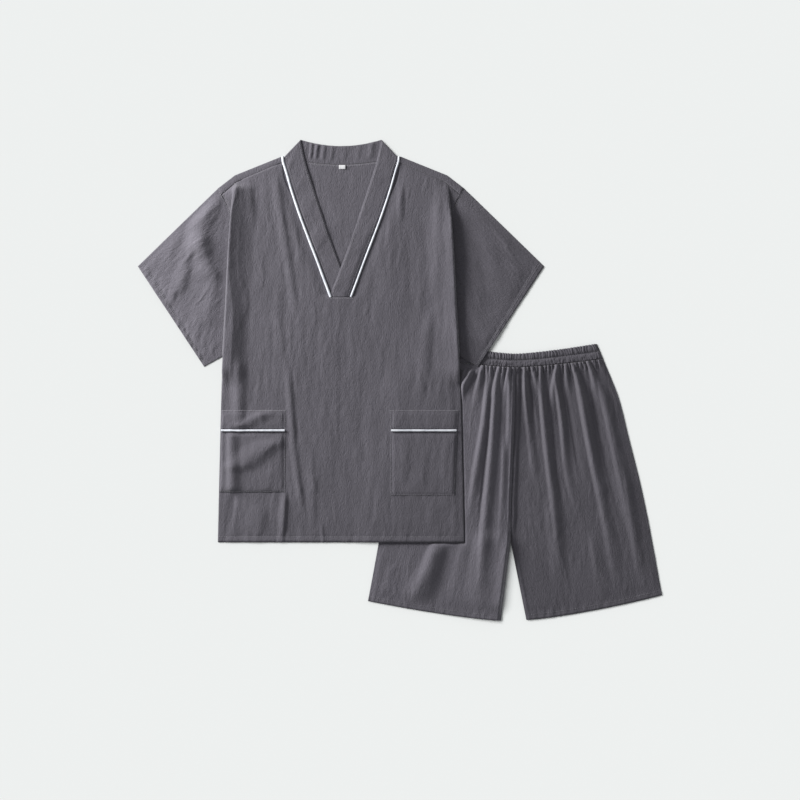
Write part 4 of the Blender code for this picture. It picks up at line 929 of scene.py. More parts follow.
def front_relief(x, y):
    """How high the front stands over its base, without its crinkle."""
    inward = side_x(y) - np.abs(x)
    stack = fold_stack(y)
    level = 0.003 + np.where(x < 0, 0.013 * eased((0.520 - y) / 0.12), 0)
    slope = EDGE_SLOPE * (1 + 0.22 * value_noise(x * 0 + 0.3, y / 0.045, 90)) - 0.5 * (level - 0.003)
    fall = np.clip((inward - level) / slope, 0, 1)
    puff = EDGE_RISE * (1 - 0.25 * eased((0.60 - y) / 0.22)) * (1 - fall) ** 1.6 * stack
    puff = puff * np.where(x > 0, 0.10 + 0.90 * eased((SHOULDER_SEAM[1][1] - y) / 0.10), 1)
    plain = (1 - stack) * eased((0.66 - y) / 0.05)
    puff = puff + PLAIN_PUFF * plain * (1 - eased((inward - SIDE_ROLL) / 0.022))
    from_v = np.abs(x) - curve(V_EDGE, np.maximum(y, V_FOOT_Y))
    near_v = np.where(y > V_FOOT_Y, eased((from_v - 0.001) / 0.022), 1)
    near_shoulder = 0.35 + 0.65 * eased((0.672 + (0.195 - np.abs(x)) * 0.4 - y) / 0.045)
    near_side = np.maximum(eased((inward - SIDE_ROLL) / 0.015), stack)
    foot = V_FOOT_RISE * np.exp(-((x / 0.030) ** 2) - ((y - V_FOOT_Y) / 0.030) ** 2)
    swell = 0.0009 * np.maximum(value_noise(x / 0.048, y / 0.16, 92) + 0.6, 0)
    wander = x / 0.011 + 0.8 * value_noise(x / 0.03, y / 0.05, 96)
    swell = swell + 0.0004 * (1 + value_noise(wander, y / 0.070, 95))
    folds = straight_folds(FRONT_FOLDS, x, y) + curved_folds(FRONT_CREASES, x, y)
    soft = (0.0012 + swell + folds) * near_v * near_shoulder * near_side
    fan = 0.0005 * np.abs(value_noise(np.arctan2(x, V_FOOT_Y + 0.10 - y) * 26, y / 0.2, 93))
    fan = fan * near_v * np.exp(-(((y - V_FOOT_Y + 0.07) / 0.06) ** 2))
    soft = soft + fan * eased((0.12 - np.abs(x)) / 0.05)
    puckers = 0.0006 * value_noise(x / 0.0075, y / 0.016, 94) * ridge(y - TOP_HEM_STITCH, 0.013)
    groove = -0.0008 * ridge(y - TOP_HEM_STITCH, 0.0032)
    doubled = 0.0005 * eased((TOP_HEM_STITCH + 0.002 - y) / 0.003)
    hem = 0.50 + 0.50 * eased((y - 0.008) / 0.035)
    return puff + foot + np.maximum(soft * hem + (puckers + groove + doubled) * near_side, -0.0004)


def smooth_through(controls, count):
    """Evenly many places on a smooth line through each row's controls."""
    at = np.linspace(0, controls.shape[1] - 1, count)
    i = np.minimum(at.astype(int), controls.shape[1] - 2)
    t = (at - i)[None, :, None]
    before, after = np.maximum(i - 1, 0), np.minimum(i + 2, controls.shape[1] - 1)
    a, b, c, d = controls[:, before], controls[:, i], controls[:, i + 1], controls[:, after]
    slope_b, slope_c = (c - a) / 2, (d - b) / 2
    return (
        (2 * t**3 - 3 * t**2 + 1) * b + (t**3 - 2 * t**2 + t) * slope_b + (3 * t**2 - 2 * t**3) * c
        + (t**3 - t**2) * slope_c
    )


def side_columns(edge, end):
    """Columns from the front's main part out to its sewn edge, for a right side: rounded down where the
    side is plain, upright where it stands high, and turned under, in and out again where it is folded."""
    outer, y, z = edge[..., 0], edge[..., 1], edge[..., 2]
    under, stack = folded_under(y), fold_stack(y)
    drop = z - FRONT_Z
    turned, crease = side_x(y) - FOLD_RADIUS, crease_x(y)
    bulge = turned + math.sin(math.radians(60)) * FOLD_RADIUS
    half = (turned + end[0]) / 2
    folded = (bulge, bulge, turned, crease, crease - FOLD_RADIUS, crease, end[0])
    upright = (bulge, bulge, turned, turned, turned, half, end[0])
    folded_z = (
        z - 0.125 * drop, z - 0.375 * drop, z - 0.5 * drop, FRONT_Z + 1.05 * WALL, FRONT_Z + 0.5 * WALL,
        FRONT_Z, FRONT_Z
    )
    controls = [edge]
    for k in range(7):
        share = (k + 1) / 7
        plain_x, plain_z = outer + (end[0] - outer) * share, z - drop * share**4
        open_x = plain_x + (upright[k] - plain_x) * stack
        open_z = plain_z + (z - drop * (k + 1) / 8 * (1 + (k == 6) / 7) - plain_z) * stack
        x = open_x + (folded[k] - open_x) * under
        level_z = open_z + (folded_z[k] - open_z) * under
        controls.append(np.stack([x, y + (end[1] - y) * share, level_z], axis=-1))
    return smooth_through(np.stack(controls, axis=1), 19)[:, 1:]


def front_half(name):
    """One half of the front in rows from the hem up, with columns from the sewn edge in to the V, in the
    pullover's own frame. Its fourth number is the crinkle's height."""
    side = SIGN[name]
    low_y, rise = (values[:, None] for values in FRONT_ROWS)
    u = np.unique(np.append(np.linspace(0, 1, 108), POCKET_COLUMN[name]))[None, :]
    top_x, top_y = on_line(SHOULDER_SEAM, (1 - u) / 2)
    y = low_y + rise * (top_y - V_FOOT_Y)
    outer = side_x(y) - SIDE_ROLL - (FOLD_RADIUS - SIDE_ROLL) * fold_stack(y)
    x = outer + (curve(V_EDGE, y) - outer) * u
    x = x + (top_x - x) * eased((rise - 0.7) / 0.3)
    seam_edge = eased((1 - u) / 0.02) * eased((1 - rise) / 0.04)
    detail = crinkle(side * x, y, 100) * (0.35 + 0.65 * np.where(rise > 0, seam_edge, 1))
    detail = detail * (0.5 + 0.5 * eased(y / 0.02))
    z = FRONT_Z + front_relief(side * x, y) + np.maximum(detail, CRINKLE_DIP)
    main = np.stack([x, y, z - 0.0002 * (1 - seam_edge) * (rise > 0)], axis=-1)
    end_y = (low_y + rise * (SHOULDER_SEAM[2][1] - V_FOOT_Y))[:, 0]
    out = side_columns(main[:, 0], (seam_x(end_y), end_y))[:, ::-1]
    points = np.concatenate([out, main], axis=1)
    points[..., 0] *= side
    fine = np.concatenate([np.repeat(detail[:, :1], out.shape[1], axis=1), detail], axis=1)
    return np.concatenate([points, fine[..., None]], axis=-1), u[0], out.shape[1]


# Rows of their own for the hem's stitches and the edges of the pockets, besides the even ones
own_rows = [*POCKET_FOOT_Y.values(), SLOT_FOOT_Y, SLOT_TOP_Y, POCKET_TOP_Y, TOP_HEM_STITCH]
FRONT_ROWS = body_rows(np.unique(np.concatenate([np.linspace(0, V_FOOT_Y, 104), own_rows])), 62)
front_left, columns_left, columns_out = front_half("left")
front_right, columns_right, columns_out = front_half("right")
centre_share = np.linspace(0, 1, 20)[None, 1:-1, None]
left_edge, right_edge = front_left[:, -1:], front_right[:, -1:]
centre = left_edge + (right_edge - left_edge) * centre_share
centre[..., 3] = crinkle(centre[..., 0], centre[..., 1], 100)
centre_relief = front_relief(centre[..., 0], centre[..., 1])
centre[..., 2] = FRONT_Z + centre_relief + np.maximum(centre[..., 3], CRINKLE_DIP)
front_flat = np.concatenate([front_left, centre, front_right[:, ::-1]], axis=1)
front_sheet = lifted(front_flat[..., 0], front_flat[..., 1], front_flat[..., 2])
front_kept = np.ones((front_flat.shape[0] - 1, front_flat.shape[1] - 1), bool)
above_v = int((FRONT_ROWS[1] == 0).sum()) - 1
front_kept[above_v:, front_left.shape[1] - 1 : front_left.shape[1] + centre.shape[1]] = False
front_crest = share_of(front_flat[..., 3], CRINKLE_RISE) * 0.7
top_front = cloth_object("Top_front", front_sheet, front_flat[..., :2], front_crest, kept=front_kept)
finish_cloth(
    top_front, "top_front"
)

# Pullover, the pockets. Each is a patch of the same cotton sewn onto the front on three sides, with a
# separate band across its top and a white piping cord in the seam between them.

POCKET_COLUMNS = 64
LEFT_POCKET_START = 3  # the front's column at the left pocket's outer edge
RIGHT_POCKET_EDGE = (0.2117, 0.2187)  # its outer edge's half widths at its foot and its top
POCKET_FOLDS = {
    "left": (
        # top y, foot y, x at the top, a third, two thirds and the foot, widths to the left and right, height
        (0.250, 0.206, (-0.1280, -0.1540, -0.1800, -0.2060), 0.022, 0.034, 0.0050),
        (0.198, 0.128, (-0.1140, -0.1430, -0.1720, -0.2010), 0.050, 0.040, 0.0052),
        (0.236, 0.050, (-0.2040, -0.2030, -0.2020, -0.2010), 0.012, 0.018, 0.0048),
        (0.184, 0.164, (-0.1240, -0.1300, -0.1380, -0.1450), 0.010, 0.006, 0.0010),
        (0.250, 0.218, (-0.1540, -0.1500, -0.1460, -0.1420), 0.012, 0.008, 0.0016),
        (0.140, 0.088, (-0.1300, -0.1320, -0.1350, -0.1380), 0.016, 0.010, 0.0012),
    ),
    "right": (
        (0.205, 0.100, (0.1200, 0.1190, 0.1170, 0.1160), 0.014, 0.014, 0.0010),
        (0.195, 0.095, (0.1600, 0.1570, 0.1530, 0.1500), 0.012, 0.012, 0.0010),
        (0.200, 0.110, (0.1960, 0.1940, 0.1920, 0.1900), 0.010, 0.010, 0.0011),
    ),
}


def twilled_material(name, own_sockets, tones, uneven, twill, strength, depth):
    """A material of two tones in a fine noise, under a slanted twill in relief. uneven holds the noise's
    inputs, and twill the wave's."""
    made, tree, shader = new_material(name, own_sockets)
    place = node(tree, "ShaderNodeTexCoord").outputs["Object"]
    noise = node(tree, "ShaderNodeTexNoise", wires={"Vector": place, **uneven})
    tree.links.new(two_tones(tree, noise.outputs[0], *tones), shader.inputs["Base Color"])
    wave = node(tree, "ShaderNodeTexWave", bands_direction="DIAGONAL", wires={"Vector": place, **twill})
    give_relief(tree, shader, wave.outputs[1], strength, depth)
    return made


# A white cotton bias strip over a cord, faintly greyed
PIPING = twilled_material(
    "White piping", {"Roughness": 0.75, "Sheen Weight": 0.15},
    ((0.30, (0.52, 0.54, 0.60)), (0.60, (0.70, 0.72, 0.77))),
    {"Scale": 130.0, "Detail": 3.0}, {"Scale": 420.0, "Distortion": 0.6}, 0.3, 0.0002
)


def sheet_normals(points):
    """The upward normals of a sheet at its points."""
    up = np.cross(np.gradient(points, axis=1), np.gradient(points, axis=0))
    up /= np.maximum(np.linalg.norm(up, axis=-1, keepdims=True), 1e-12)
    return up * np.sign(up[..., 2:].sum())


def piping_cord(name, route, node_name, radius=PIPING_RADIUS):
    """A cord of piping along a row of points, a little uneven in its thickness."""
    route = np.array(route)
    line = bpy.data.curves.new(name, "CURVE")
    line.dimensions = "3D"
    line.bevel_depth = radius
    line.bevel_resolution = 3
    line.use_fill_caps = True
    spline = line.splines.new("POLY")
    spline.points.add(len(route) - 1)
    spline.points.foreach_set("co", np.concatenate([route, np.ones((len(route), 1))], axis=1).ravel())
    far = np.arange(len(route)) * np.linalg.norm(route[-1] - route[0]) / len(route)
    spline.points.foreach_set("radius", 0.98 + 0.07 * value_noise(far / 0.006, far * 0, 7))
    shape = add_object(name, line)
    view = bpy.context.evaluated_depsgraph_get()
    mesh = bpy.data.meshes.new_from_object(shape.evaluated_get(view))
    bpy.data.objects.remove(shape)
    cord = add_object(name, mesh)
    mesh.shade_smooth()
    mesh.materials.clear()
    mesh.materials.append(PIPING)
    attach(cord, "root")
    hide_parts(node_name)
    return cord


def pocket_pieces(name):
    """A pocket's bag, band and piping, made from the front's own points and moved out. Returns the bag's
    and band's points."""
    u = columns_left if name == "left" else columns_right
    inner = columns_out + int(np.argmin(np.abs(u - POCKET_COLUMN[name])))
    heights = FRONT_ROWS[0][: above_v + 1]
    edges = (POCKET_FOOT_Y[name], SLOT_FOOT_Y, SLOT_TOP_Y, POCKET_TOP_Y)
    foot, below, above, top = (int(np.argmin(np.abs(heights - y))) for y in edges)
    flat = np.zeros((above_v + 1, POCKET_COLUMNS, 4))
    for row in range(above_v + 1):
        if name == "left":
            at = np.linspace(LEFT_POCKET_START, inner, POCKET_COLUMNS)
        else:
            line_x = np.interp(heights[row], (POCKET_FOOT_Y["right"], POCKET_TOP_Y), RIGHT_POCKET_EDGE)
            last = front_flat.shape[1] - 1
            outer = np.interp(
                line_x, front_flat[row, last - inner : last - 9, 0], np.arange(last - inner, last - 9)
            )
            at = np.linspace(last - inner, outer, POCKET_COLUMNS)
        for k in range(4):
            flat[row, :, k] = np.interp(at, np.arange(front_flat.shape[1]), front_flat[row, :, k])
    smooth = lifted(flat[..., 0], flat[..., 1], flat[..., 2] - np.maximum(flat[..., 3], CRINKLE_DIP) * 0.8)
    out = sheet_normals(smooth)
    sheets = []
    for piece, low, high in (("bag", foot, below), ("band", above, top)):
        x, y = flat[low : high + 1, :, 0], flat[low : high + 1, :, 1]
        inner_x = np.abs(flat[0, -1 if name == "left" else 0, 0])
        outer_x = (
            side_x(y) if name == "left"
            else np.interp(y, (POCKET_FOOT_Y["right"], POCKET_TOP_Y), RIGHT_POCKET_EDGE)
        )
        inward = np.minimum.reduce([y - y.min(), y.max() - y, np.abs(x) - inner_x, outer_x - np.abs(x)])
        detail = crinkle(x, y, 110 if name == "left" else 120)
        soft = 0.0007 + 0.0009 * np.maximum(value_noise(x / 0.035, y / 0.06, 111) + 0.3, 0)
        soft = (soft + curved_folds(POCKET_FOLDS[name], x, y)) * eased(inward / 0.007)
        stitched = -0.0005 * ridge(inward - 0.0022, 0.0020)
        if piece == "band":
            soft = soft * 0.7 - 0.0005 * ridge(y.max() - y - 0.005, 0.0022)
        sewn_down = 0.0007 * (1 - eased(inward / 0.005))
        raised = (
            WALL + SEAM_GAP - sewn_down + np.maximum(soft + stitched, -0.0002)
            + np.maximum(detail, CRINKLE_DIP) * eased(inward / 0.006)
        )
        points = smooth[low : high + 1] + out[low : high + 1] * raised[..., None]
        crest = share_of(detail, CRINKLE_RISE) * 0.7 + share_of(soft, 0.004) * 0.4
        patch = cloth_object(f"Pocket_{name}_{piece}", points, flat[low : high + 1, :, :2] + 0.5, crest)
        finish_cloth(
            patch, f"pocket_{name}_{piece}"
        )
        sheets.append(points)
    outward = (out[below] + out[above]) / 2
    seam = (smooth[below] + smooth[above]) / 2 + outward * (WALL / 2 + SEAM_GAP + PIPING_RADIUS)
    steps = np.linspace(0, len(seam) - 1, 46)
    route = np.stack([np.interp(steps, np.arange(len(seam)), seam[:, k]) for k in range(3)], axis=1)
    piping_cord(f"Pocket_{name}_piping", route[1:-1], f"piping_pocket_{name}")
    return sheets


pocket_sheets = {name: pocket_pieces(name) for name in ("left", "right")}

# Pullover, the collar. A band of cotton folded double, in three lengths as it lies: both fronts, the right
# one crossing over the left one at the foot of the V, and the back of the neck seen from inside. White piping
# lies in both front seams.

BAND_WALL = 0.0018
COLLAR_ROWS, COLLAR_COLUMNS = 121, 25
BAND_INNER = (
    (0.4557, -0.0215), (0.5120, 0.0), (0.5570, 0.0168), (0.6125, 0.0355), (0.6550, 0.0495), (0.7110, 0.0670),
    (0.7485, 0.0752)
)
COLLAR_TOP_MIDDLE_Y, COLLAR_TOP_END_Y, COLLAR_FOLD_HALF = 0.7372, 0.7490, 0.0752
UNDER_BAND_SHORT = 0.014


def v_half(y):
    """Half width of the V's edge at a height, with the shoulder strip's end."""
    return np.where(
        y < SHOULDER_SEAM[0][1], curve(V_EDGE, y),
        np.interp(y, (SHOULDER_SEAM[0][1], SHOULDER_FOLD[0][1]), (SHOULDER_SEAM[0][0], SHOULDER_FOLD[0][0]))
    )


def collar_band(name):
    """A front length of the collar band, from the foot of the V up to the fold at the shoulder."""
    side = SIGN[name]
    share, u = np.linspace(0, 1, COLLAR_ROWS)[:, None], np.linspace(0, 1, COLLAR_COLUMNS)[None, :]
    low = V_FOOT_Y + SEAM_GAP
    outer_y = low + (SHOULDER_FOLD[0][1] - low) * share
    inner_y = low + (BAND_INNER[-1][0] - low) * share
    slot = PIPING_SLOT * 1.12
    outer_x = v_half(outer_y) - slot
    inner_x = np.maximum(
        curve(BAND_INNER, inner_y), slot + (UNDER_BAND_SHORT if name == "left" else 0) - v_half(inner_y)
    )
    x = outer_x + (inner_x - outer_x) * u
    y = outer_y + (inner_y - outer_y) * u
    z = BACK_Z + WALL + SEAM_GAP + BAND_WALL / 2 + 0.001 * eased((y - 0.640) / 0.045)
    if name == "right":
        z = z + (BAND_WALL + 0.0004) * np.minimum(u / 0.32, 1) * eased((0.610 - y) / 0.060)
    along, across = share * 0.30, u * 0.036
    edge = np.minimum(eased(u / 0.10), eased((1 - u) / 0.12))
    waves = value_noise(along / 0.020 + across * 22, across / 0.030, 131 if side < 0 else 132)
    waves = 0.0007 * np.maximum(waves + 0.2, 0)
    if side < 0:
        slanted = value_noise(along / 0.017 - across / 0.024, across / 0.070, 133)
        waves = waves + 0.0018 * np.maximum(slanted, 0)
    detail = crinkle(across, along, 130 if side < 0 else 140) * 0.75
    z = z - 0.0007 * (1 - edge) + (waves + np.maximum(detail, -0.0002)) * edge
    z = z - 0.0004 * ridge(u - 0.13, 0.05)
    points = lifted(side * x + 0 * y, y, z)
    crest = share_of(detail, 0.0005) * 0.7 + share_of(waves, 0.0008) * 0.2
    grain = np.stack([across + 0 * share, along + 0 * u], axis=-1)
    if side > 0:
        points, grain, crest = points[:, ::-1], grain[:, ::-1], crest[:, ::-1]
    band = cloth_object(f"Collar_{name}", points, grain, crest, wall=BAND_WALL)
    finish_cloth(
        band, f"collar_{name}",
    )
    return points[:, ::side]


collar_sheets = {}
for name in ("left", "right"):
    collar_sheets[name] = collar_band(name)
    side = SIGN[name]
    y = np.linspace(V_FOOT_Y, SHOULDER_FOLD[0][1], 90)
    x = v_half(y)
    run = np.stack([np.gradient(x), np.gradient(y)], axis=1)
    run /= np.linalg.norm(run, axis=1)[:, None]
    inward = PIPING_SLOT / 2 - (0.0008 if name == "left" else 0)
    x, y = x - run[:, 1] * inward, np.maximum(y + run[:, 0] * inward, V_FOOT_Y + SEAM_GAP)
    foot_rise = V_FOOT_RISE * eased((V_FOOT_Y + 0.05 - y) / 0.05)
    z = BACK_Z + WALL / 2 + SEAM_GAP + PIPING_RADIUS + foot_rise + 0.0004
    cord_route = lifted(side * x, y, z + 0.0003 * value_noise(y / 0.02, y * 0, 8))
    piping_cord(
        f"Collar_{name}_piping", cord_route, f"piping_collar_{name}", 0.0024 if name == "left" else 0.0018
    )

share, v = np.linspace(-1, 1, 121)[None, :], np.linspace(0, 1, 29)[:, None]
low_x, high_x = share * COLLAR_FOOT_HALF, share * COLLAR_FOLD_HALF
low_y = neck_seam_y(low_x) + SEAM_GAP
high_y = COLLAR_TOP_MIDDLE_Y + (COLLAR_TOP_END_Y - COLLAR_TOP_MIDDLE_Y) * share**2
x, y = low_x + (high_x - low_x) * v, low_y + (high_y - low_y) * v
creases = sum(height * ridge(x - place - 0.004 * v, wide) for place, wide, height in (
    (-0.063, 0.004, -0.0010), (-0.058, 0.004, 0.0017), (-0.048, 0.005, 0.0020), (-0.035, 0.006, 0.0017),
    (-0.020, 0.005, 0.0011), (0.004, 0.008, 0.0006), (0.030, 0.006, 0.0006), (0.054, 0.010, 0.0018)))
detail = crinkle(x, y, 150)
edge = np.minimum(eased(v / 0.10), eased((1 - v) / 0.10))
z = BAND_WALL / 2 + 0.0003 + (creases * eased((v - 0.1) / 0.3) + np.maximum(detail, -0.0002)) * edge
collar_back = cloth_object(
    "Collar_back", lifted(x, y, np.maximum(z, BAND_WALL / 2)), np.stack([x, y], axis=-1),
    share_of(detail, CRINKLE_RISE), wall=BAND_WALL
)
finish_cloth(collar_back, "collar_back")

# Pullover, the label. A small woven tape loop under the neck seam, left blank.

LABEL_WIDTH, LABEL_HEIGHT, LABEL_X, LABEL_Y, LABEL_CUT = 0.0120, 0.0076, 0.0024, 0.6980, 0.0100
label_white, tree, shader = new_material("White woven label", {"Roughness": 0.55})
place = node(tree, "ShaderNodeTexCoord")
ribs = node(tree, "ShaderNodeTexWave", bands_direction="Y", wires={
    "Vector": place.outputs["Object"], "Scale": 600.0})
tint = two_tones(tree, ribs.outputs[1], (0.0, (0.50, 0.50, 0.52)), (1.0, (0.66, 0.66, 0.67)))
tree.links.new(tint, shader.inputs["Base Color"])
u, v = np.meshgrid(np.linspace(-0.5, 0.5, 13), np.linspace(-0.5, 0.5, 9))
x, y = LABEL_X + u * LABEL_WIDTH, LABEL_Y + v * LABEL_HEIGHT
z = BACK_Z + WALL + SEAM_GAP + 0.0011 + 0.0005 * (1 - (2 * v) ** 2) + 0.0002 * np.sin(u * 5)
label = cloth_object("Neck_label", lifted(x, y, z), np.stack([x, y], axis=-1), wall=0.0005)
finish_cloth(
    label, "neck_label",
    material=label_white
)

# Stitches. Grey sewing thread in rows that hold the hems, cuffs, pockets, collar, shoulders and waistband.
# Each row follows its seam.

STITCH_LENGTH, STITCH_GAP, THREAD_THICKNESS = 0.0024, 0.0008, 0.00075


def stitch_tree(material):
    """Geometry nodes that set stitches along every line of a mesh."""
    tree = bpy.data.node_groups.new("Rows of stitches", "GeometryNodeTree")
    for label, kind in (
        ("Seam lines", "Geometry"), ("Stitch length", "Float"), ("Gap", "Float"), ("Thickness", "Float"),
        ("Seed", "Int")
    ):
        tree.interface.new_socket(label, in_out="INPUT", socket_type=f"NodeSocket{kind}")
    tree.interface.new_socket("Stitches", in_out="OUTPUT", socket_type="NodeSocketGeometry")
    start, end = tree.nodes.new("NodeGroupInput"), tree.nodes.new("NodeGroupOutput")
    lines = node(tree, "GeometryNodeMeshToCurve", wires={0: start.outputs["Seam lines"]})
    pitch = maths(tree, "ADD", start.outputs["Stitch length"], start.outputs["Gap"])
    places = node(tree, "GeometryNodeCurveToPoints", mode="LENGTH", wires={
        "Curve": lines.outputs[0], "Length": pitch})
    bead = node(tree, "GeometryNodeMeshUVSphere", wires={"Segments": 6, "Rings": 5, "Radius": 0.5})
    size = node(tree, "ShaderNodeCombineXYZ", wires={
        "X": start.outputs["Thickness"], "Y": start.outputs["Thickness"],
        "Z": start.outputs["Stitch length"]})
    uneven = node(tree, "FunctionNodeRandomValue", data_type="FLOAT", wires={
        "Min": 0.82, "Max": 1.12, "Seed": start.outputs["Seed"]})
    scale = scaled(tree, size.outputs[0], uneven.outputs[1])
    rows = node(tree, "GeometryNodeInstanceOnPoints", wires={
        "Points": places.outputs["Points"], "Instance": bead.outputs["Mesh"],
        "Rotation": places.outputs["Rotation"], "Scale": scale})
    real = node(tree, "GeometryNodeRealizeInstances", wires={0: rows.outputs[0]})
    smooth = node(tree, "GeometryNodeSetShadeSmooth", wires={0: real.outputs[0]})
    finished = node(tree, "GeometryNodeSetMaterial", wires={0: smooth.outputs[0], "Material": material})
    tree.links.new(finished.outputs[0], end.inputs["Stitches"])
    return tree


# Sewing thread, a little lighter than the cotton, with its twist
THREAD = twilled_material(
    "Grey sewing thread", {"Roughness": 0.6, "Sheen Weight": 0.1},
    ((0.35, (0.15, 0.145, 0.165)), (0.65, (0.23, 0.225, 0.245))),
    {"Scale": 180.0, "Detail": 1.0}, {"Scale": 1200.0}, 0.5, 0.00006
)
STITCHES = stitch_tree(THREAD)


def row_on(sheet, row, first, last, wall=WALL, turned=False):
    """A line that lies on a sheet of cloth along one of its rows, or a column if it is turned. row, first
    and last may be fractions of a step."""
    rise = sheet_normals(sheet)
    if turned:
        sheet, rise = sheet.swapaxes(0, 1), rise.swapaxes(0, 1)
    low = min(int(row), sheet.shape[0] - 2)
    share = row - low
    line = sheet[low] * (1 - share) + sheet[low + 1] * share
    up = rise[low] * (1 - share) + rise[low + 1] * share
    line = line + up * (wall / 2 + THREAD_THICKNESS * 0.22)
    at = np.linspace(first, last, max(int(abs(last - first) * 1.5), 2))
    return np.stack([np.interp(at, np.arange(len(line)), line[:, k]) for k in range(3)], axis=1)


def stitch_object(name, lines, seed):
    """All the stitches of a garment as one plain mesh."""
    mesh = bpy.data.meshes.new(name)
    counts = [len(line) for line in lines]
    starts = np.cumsum([0] + counts[:-1])
    edges = [(first + k, first + k + 1) for first, count in zip(starts, counts) for k in range(count - 1)]
    mesh.from_pydata(np.concatenate(lines).tolist(), edges, [])
    seams = add_object(name, mesh)
    sewn = seams.modifiers.new("Sewn", "NODES")
    sewn.node_group = STITCHES
    values = {"Stitch length": STITCH_LENGTH, "Gap": STITCH_GAP, "Thickness": THREAD_THICKNESS, "Seed": seed}
    for item in STITCHES.interface.items_tree:
        if item.in_out == "INPUT" and item.name in values:
            sewn[item.identifier] = values[item.name]
    view = bpy.context.evaluated_depsgraph_get()
    plain = bpy.data.meshes.new_from_object(seams.evaluated_get(view))
    bpy.data.objects.remove(seams)
    stitches = add_object(name, plain)
    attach(stitches, "root")
    return stitches


last, back_last = front_sheet.shape[1] - 1, back_sheet.shape[1] - 1
hem_row = int(np.argmin(np.abs(FRONT_ROWS[0][: above_v + 1] - TOP_HEM_STITCH)))
neck_row = back_sheet.shape[0] - len(SHOULDER_TURNS) - 1.8
shoulder_row = back_sheet.shape[0] - 2.5
v_start, v_end = front_left.shape[1] - 2, front_left.shape[1] + centre.shape[1] + 1
top_lines = [
    row_on(front_sheet, hem_row, 8, last - 8),
    row_on(front_sheet, above_v - 0.5, v_start, v_end),
    row_on(back_sheet, neck_row, BACK_SIDE + 3, back_last - BACK_SIDE - 3),
    row_on(back_sheet, shoulder_row, 1, BACK_SIDE - 2),
    row_on(back_sheet, shoulder_row, back_last - BACK_SIDE + 2, back_last - 1),
]
for column in (1.2, last - 1.2):
    top_rows = front_sheet.shape[0] - 1
    top_lines.append(row_on(front_sheet, column, top_rows - 14, top_rows, turned=True))
for name in ("left", "right"):
    sleeve, columns = sleeve_sheets[name], sleeve_sheets[name].shape[1] - 1
    for from_cuff in (CUFF_STITCH, CUFF_STITCH - 0.004):
        top_lines.append(row_on(sleeve, (SLEEVE_ROWS - 1) * (1 - from_cuff / SLEEVE_LENGTH), 3, columns - 3))
    bag, band = pocket_sheets[name]
    bag_top, band_top = bag.shape[0] - 1.3, band.shape[0] - 1.3
    edge, far = (POCKET_COLUMNS - 1.9, 6) if name == "left" else (0.9, POCKET_COLUMNS - 2)
    inset = edge - 3.2 if name == "left" else edge + 3.2
    top_lines += [
        row_on(sleeve, 0.9, 3, columns * 0.30),
        row_on(bag, edge, 0.4, bag_top, turned=True),
        row_on(bag, 0.45, min(edge, far), max(edge, far)),
        row_on(band, edge, 0.3, band_top, turned=True),
        row_on(band, inset, 0.3, band_top, turned=True),
        row_on(band, band.shape[0] - 1.6, min(edge, far), max(edge, far)),
    ]
    if name == "right":
        top_lines.append(row_on(bag, far, 0.4, bag_top, turned=True))
    collar, low = collar_sheets[name], 3 if name == "right" else 12
    for column in (2.6, 21.6):
        top_lines.append(row_on(
            collar, COLLAR_COLUMNS - 1 - column, low, COLLAR_ROWS - 2, wall=BAND_WALL, turned=True))
stitch_object("Pullover_stitches", top_lines, 3)

shorts_lines = []
for name in ("left", "right"):
    leg = leg_points[name]
    shorts_lines.append(row_on(leg, (LEG_ROWS - 1) * HEM_STITCH / LEG_HEIGHT, 4, leg.shape[1] - 5))
shorts_lines.append(row_on(band_points[:, :BAND_COLUMNS], BAND_ROWS // 2, 3, BAND_COLUMNS - 4))
stitch_object("Shorts_stitches", shorts_lines, 5)

# Floor, light and camera. The set lies on a plain pale surface and is seen from straight above, as in the
# photograph. A softbox on the upper left lights the cloth alone, and an even sun the floor alone, which keeps
# the floor the same all over.

FLOOR_HALF, FLOOR_Z = 8, -0.0002
SKY_COLOUR, SKY_STRENGTH, KEY_ON_FLOOR = (0.97, 0.985, 1.0, 1), 0.34, 0.735
KEY_AT, KEY_SIZE, KEY_COLOUR = (-1.75, 0.95, 0.74), (1.1, 0.8), (1.0, 0.995, 0.985)
KEY_POWER = 88
FLOOR_LIGHT_TILT, FLOOR_LIGHT_SPREAD = math.radians(42), math.radians(35)
LENS, SENSOR = 100, 36  # millimetres
FRAME_CENTRE, FRAME_WIDTH, FRAME_LEVEL = (0.0003, -0.0371), 1.488, 0.004  # what the picture takes in

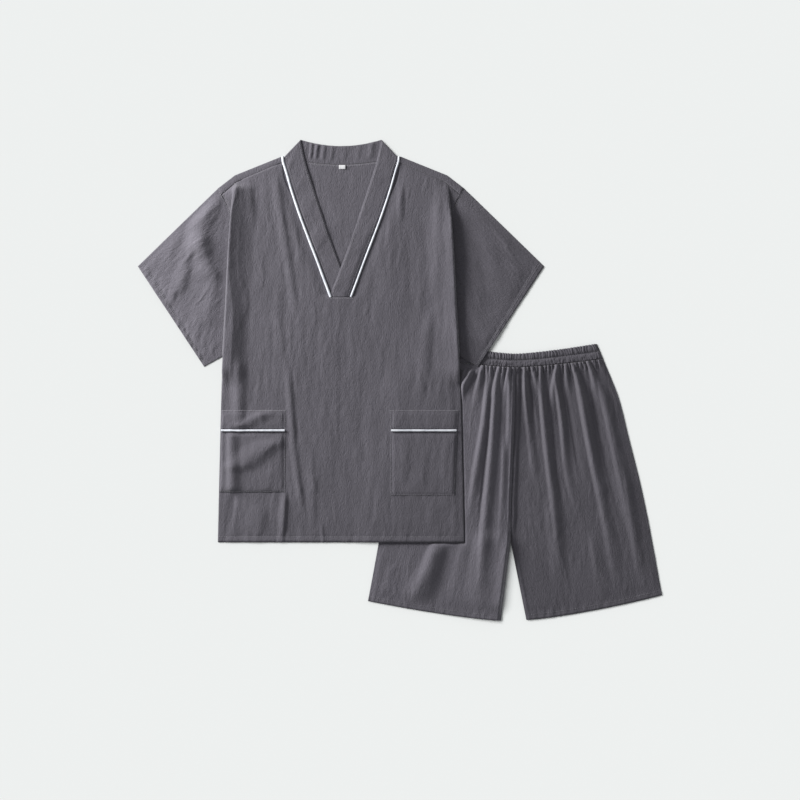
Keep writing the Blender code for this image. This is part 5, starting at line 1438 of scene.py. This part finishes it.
floor_mesh = bpy.data.meshes.new("floor")
floor_corners = [(x * FLOOR_HALF, y * FLOOR_HALF, FLOOR_Z) for x, y in ((-1, -1), (1, -1), (1, 1), (-1, 1))]
floor_mesh.from_pydata(floor_corners, [], [(0, 1, 2, 3)])
floor = add_object("floor", floor_mesh)
floor_mesh.materials.append(new_material("Pale floor", {
    "Base Color": (0.80, 0.815, 0.805, 1), "Roughness": 0.95, "Specular IOR Level": 0.1})[0])

away = math.hypot(KEY_AT[0], KEY_AT[1])
key_turn = (math.atan2(away, KEY_AT[2]), 0, math.atan2(KEY_AT[1], KEY_AT[0]) + math.pi / 2)
world = bpy.data.worlds.new("Soft studio")
bpy.context.scene.world = world
world.use_nodes = True
world.node_tree.nodes["Background"].inputs["Color"].default_value = SKY_COLOUR
world.node_tree.nodes["Background"].inputs["Strength"].default_value = SKY_STRENGTH

lit_evenly = bpy.data.collections.new("Lit evenly")
lit_evenly.objects.link(floor)
softbox = bpy.data.lights.new("Softbox", "AREA")
softbox.shape, softbox.energy, softbox.color = "RECTANGLE", KEY_POWER, KEY_COLOUR
softbox.size, softbox.size_y = KEY_SIZE
softbox_light = add_object("Softbox", softbox)
softbox_light.location, softbox_light.rotation_euler = KEY_AT, key_turn
unlit = bpy.data.collections.new("Not lit by the softbox")
unlit.objects.link(floor)
unlit.collection_objects[0].light_linking.link_state = "EXCLUDE"
softbox_light.light_linking.receiver_collection = unlit
even = bpy.data.lights.new("Even light on the floor", "SUN")
even.energy = KEY_ON_FLOOR * math.pi / math.cos(FLOOR_LIGHT_TILT)
even.angle = FLOOR_LIGHT_SPREAD
even_light = add_object("Even light on the floor", even)
even_light.rotation_euler = (FLOOR_LIGHT_TILT, 0, key_turn[2])
even_light.light_linking.receiver_collection = lit_evenly

lens = bpy.data.cameras.new("Camera")
lens.lens, lens.sensor_width = LENS, SENSOR
camera = add_object("Camera", lens)
camera.location = (*FRAME_CENTRE, FRAME_WIDTH * LENS / SENSOR + FRAME_LEVEL)
bpy.context.scene.camera = camera
bpy.context.scene.view_settings.view_transform = "Standard"
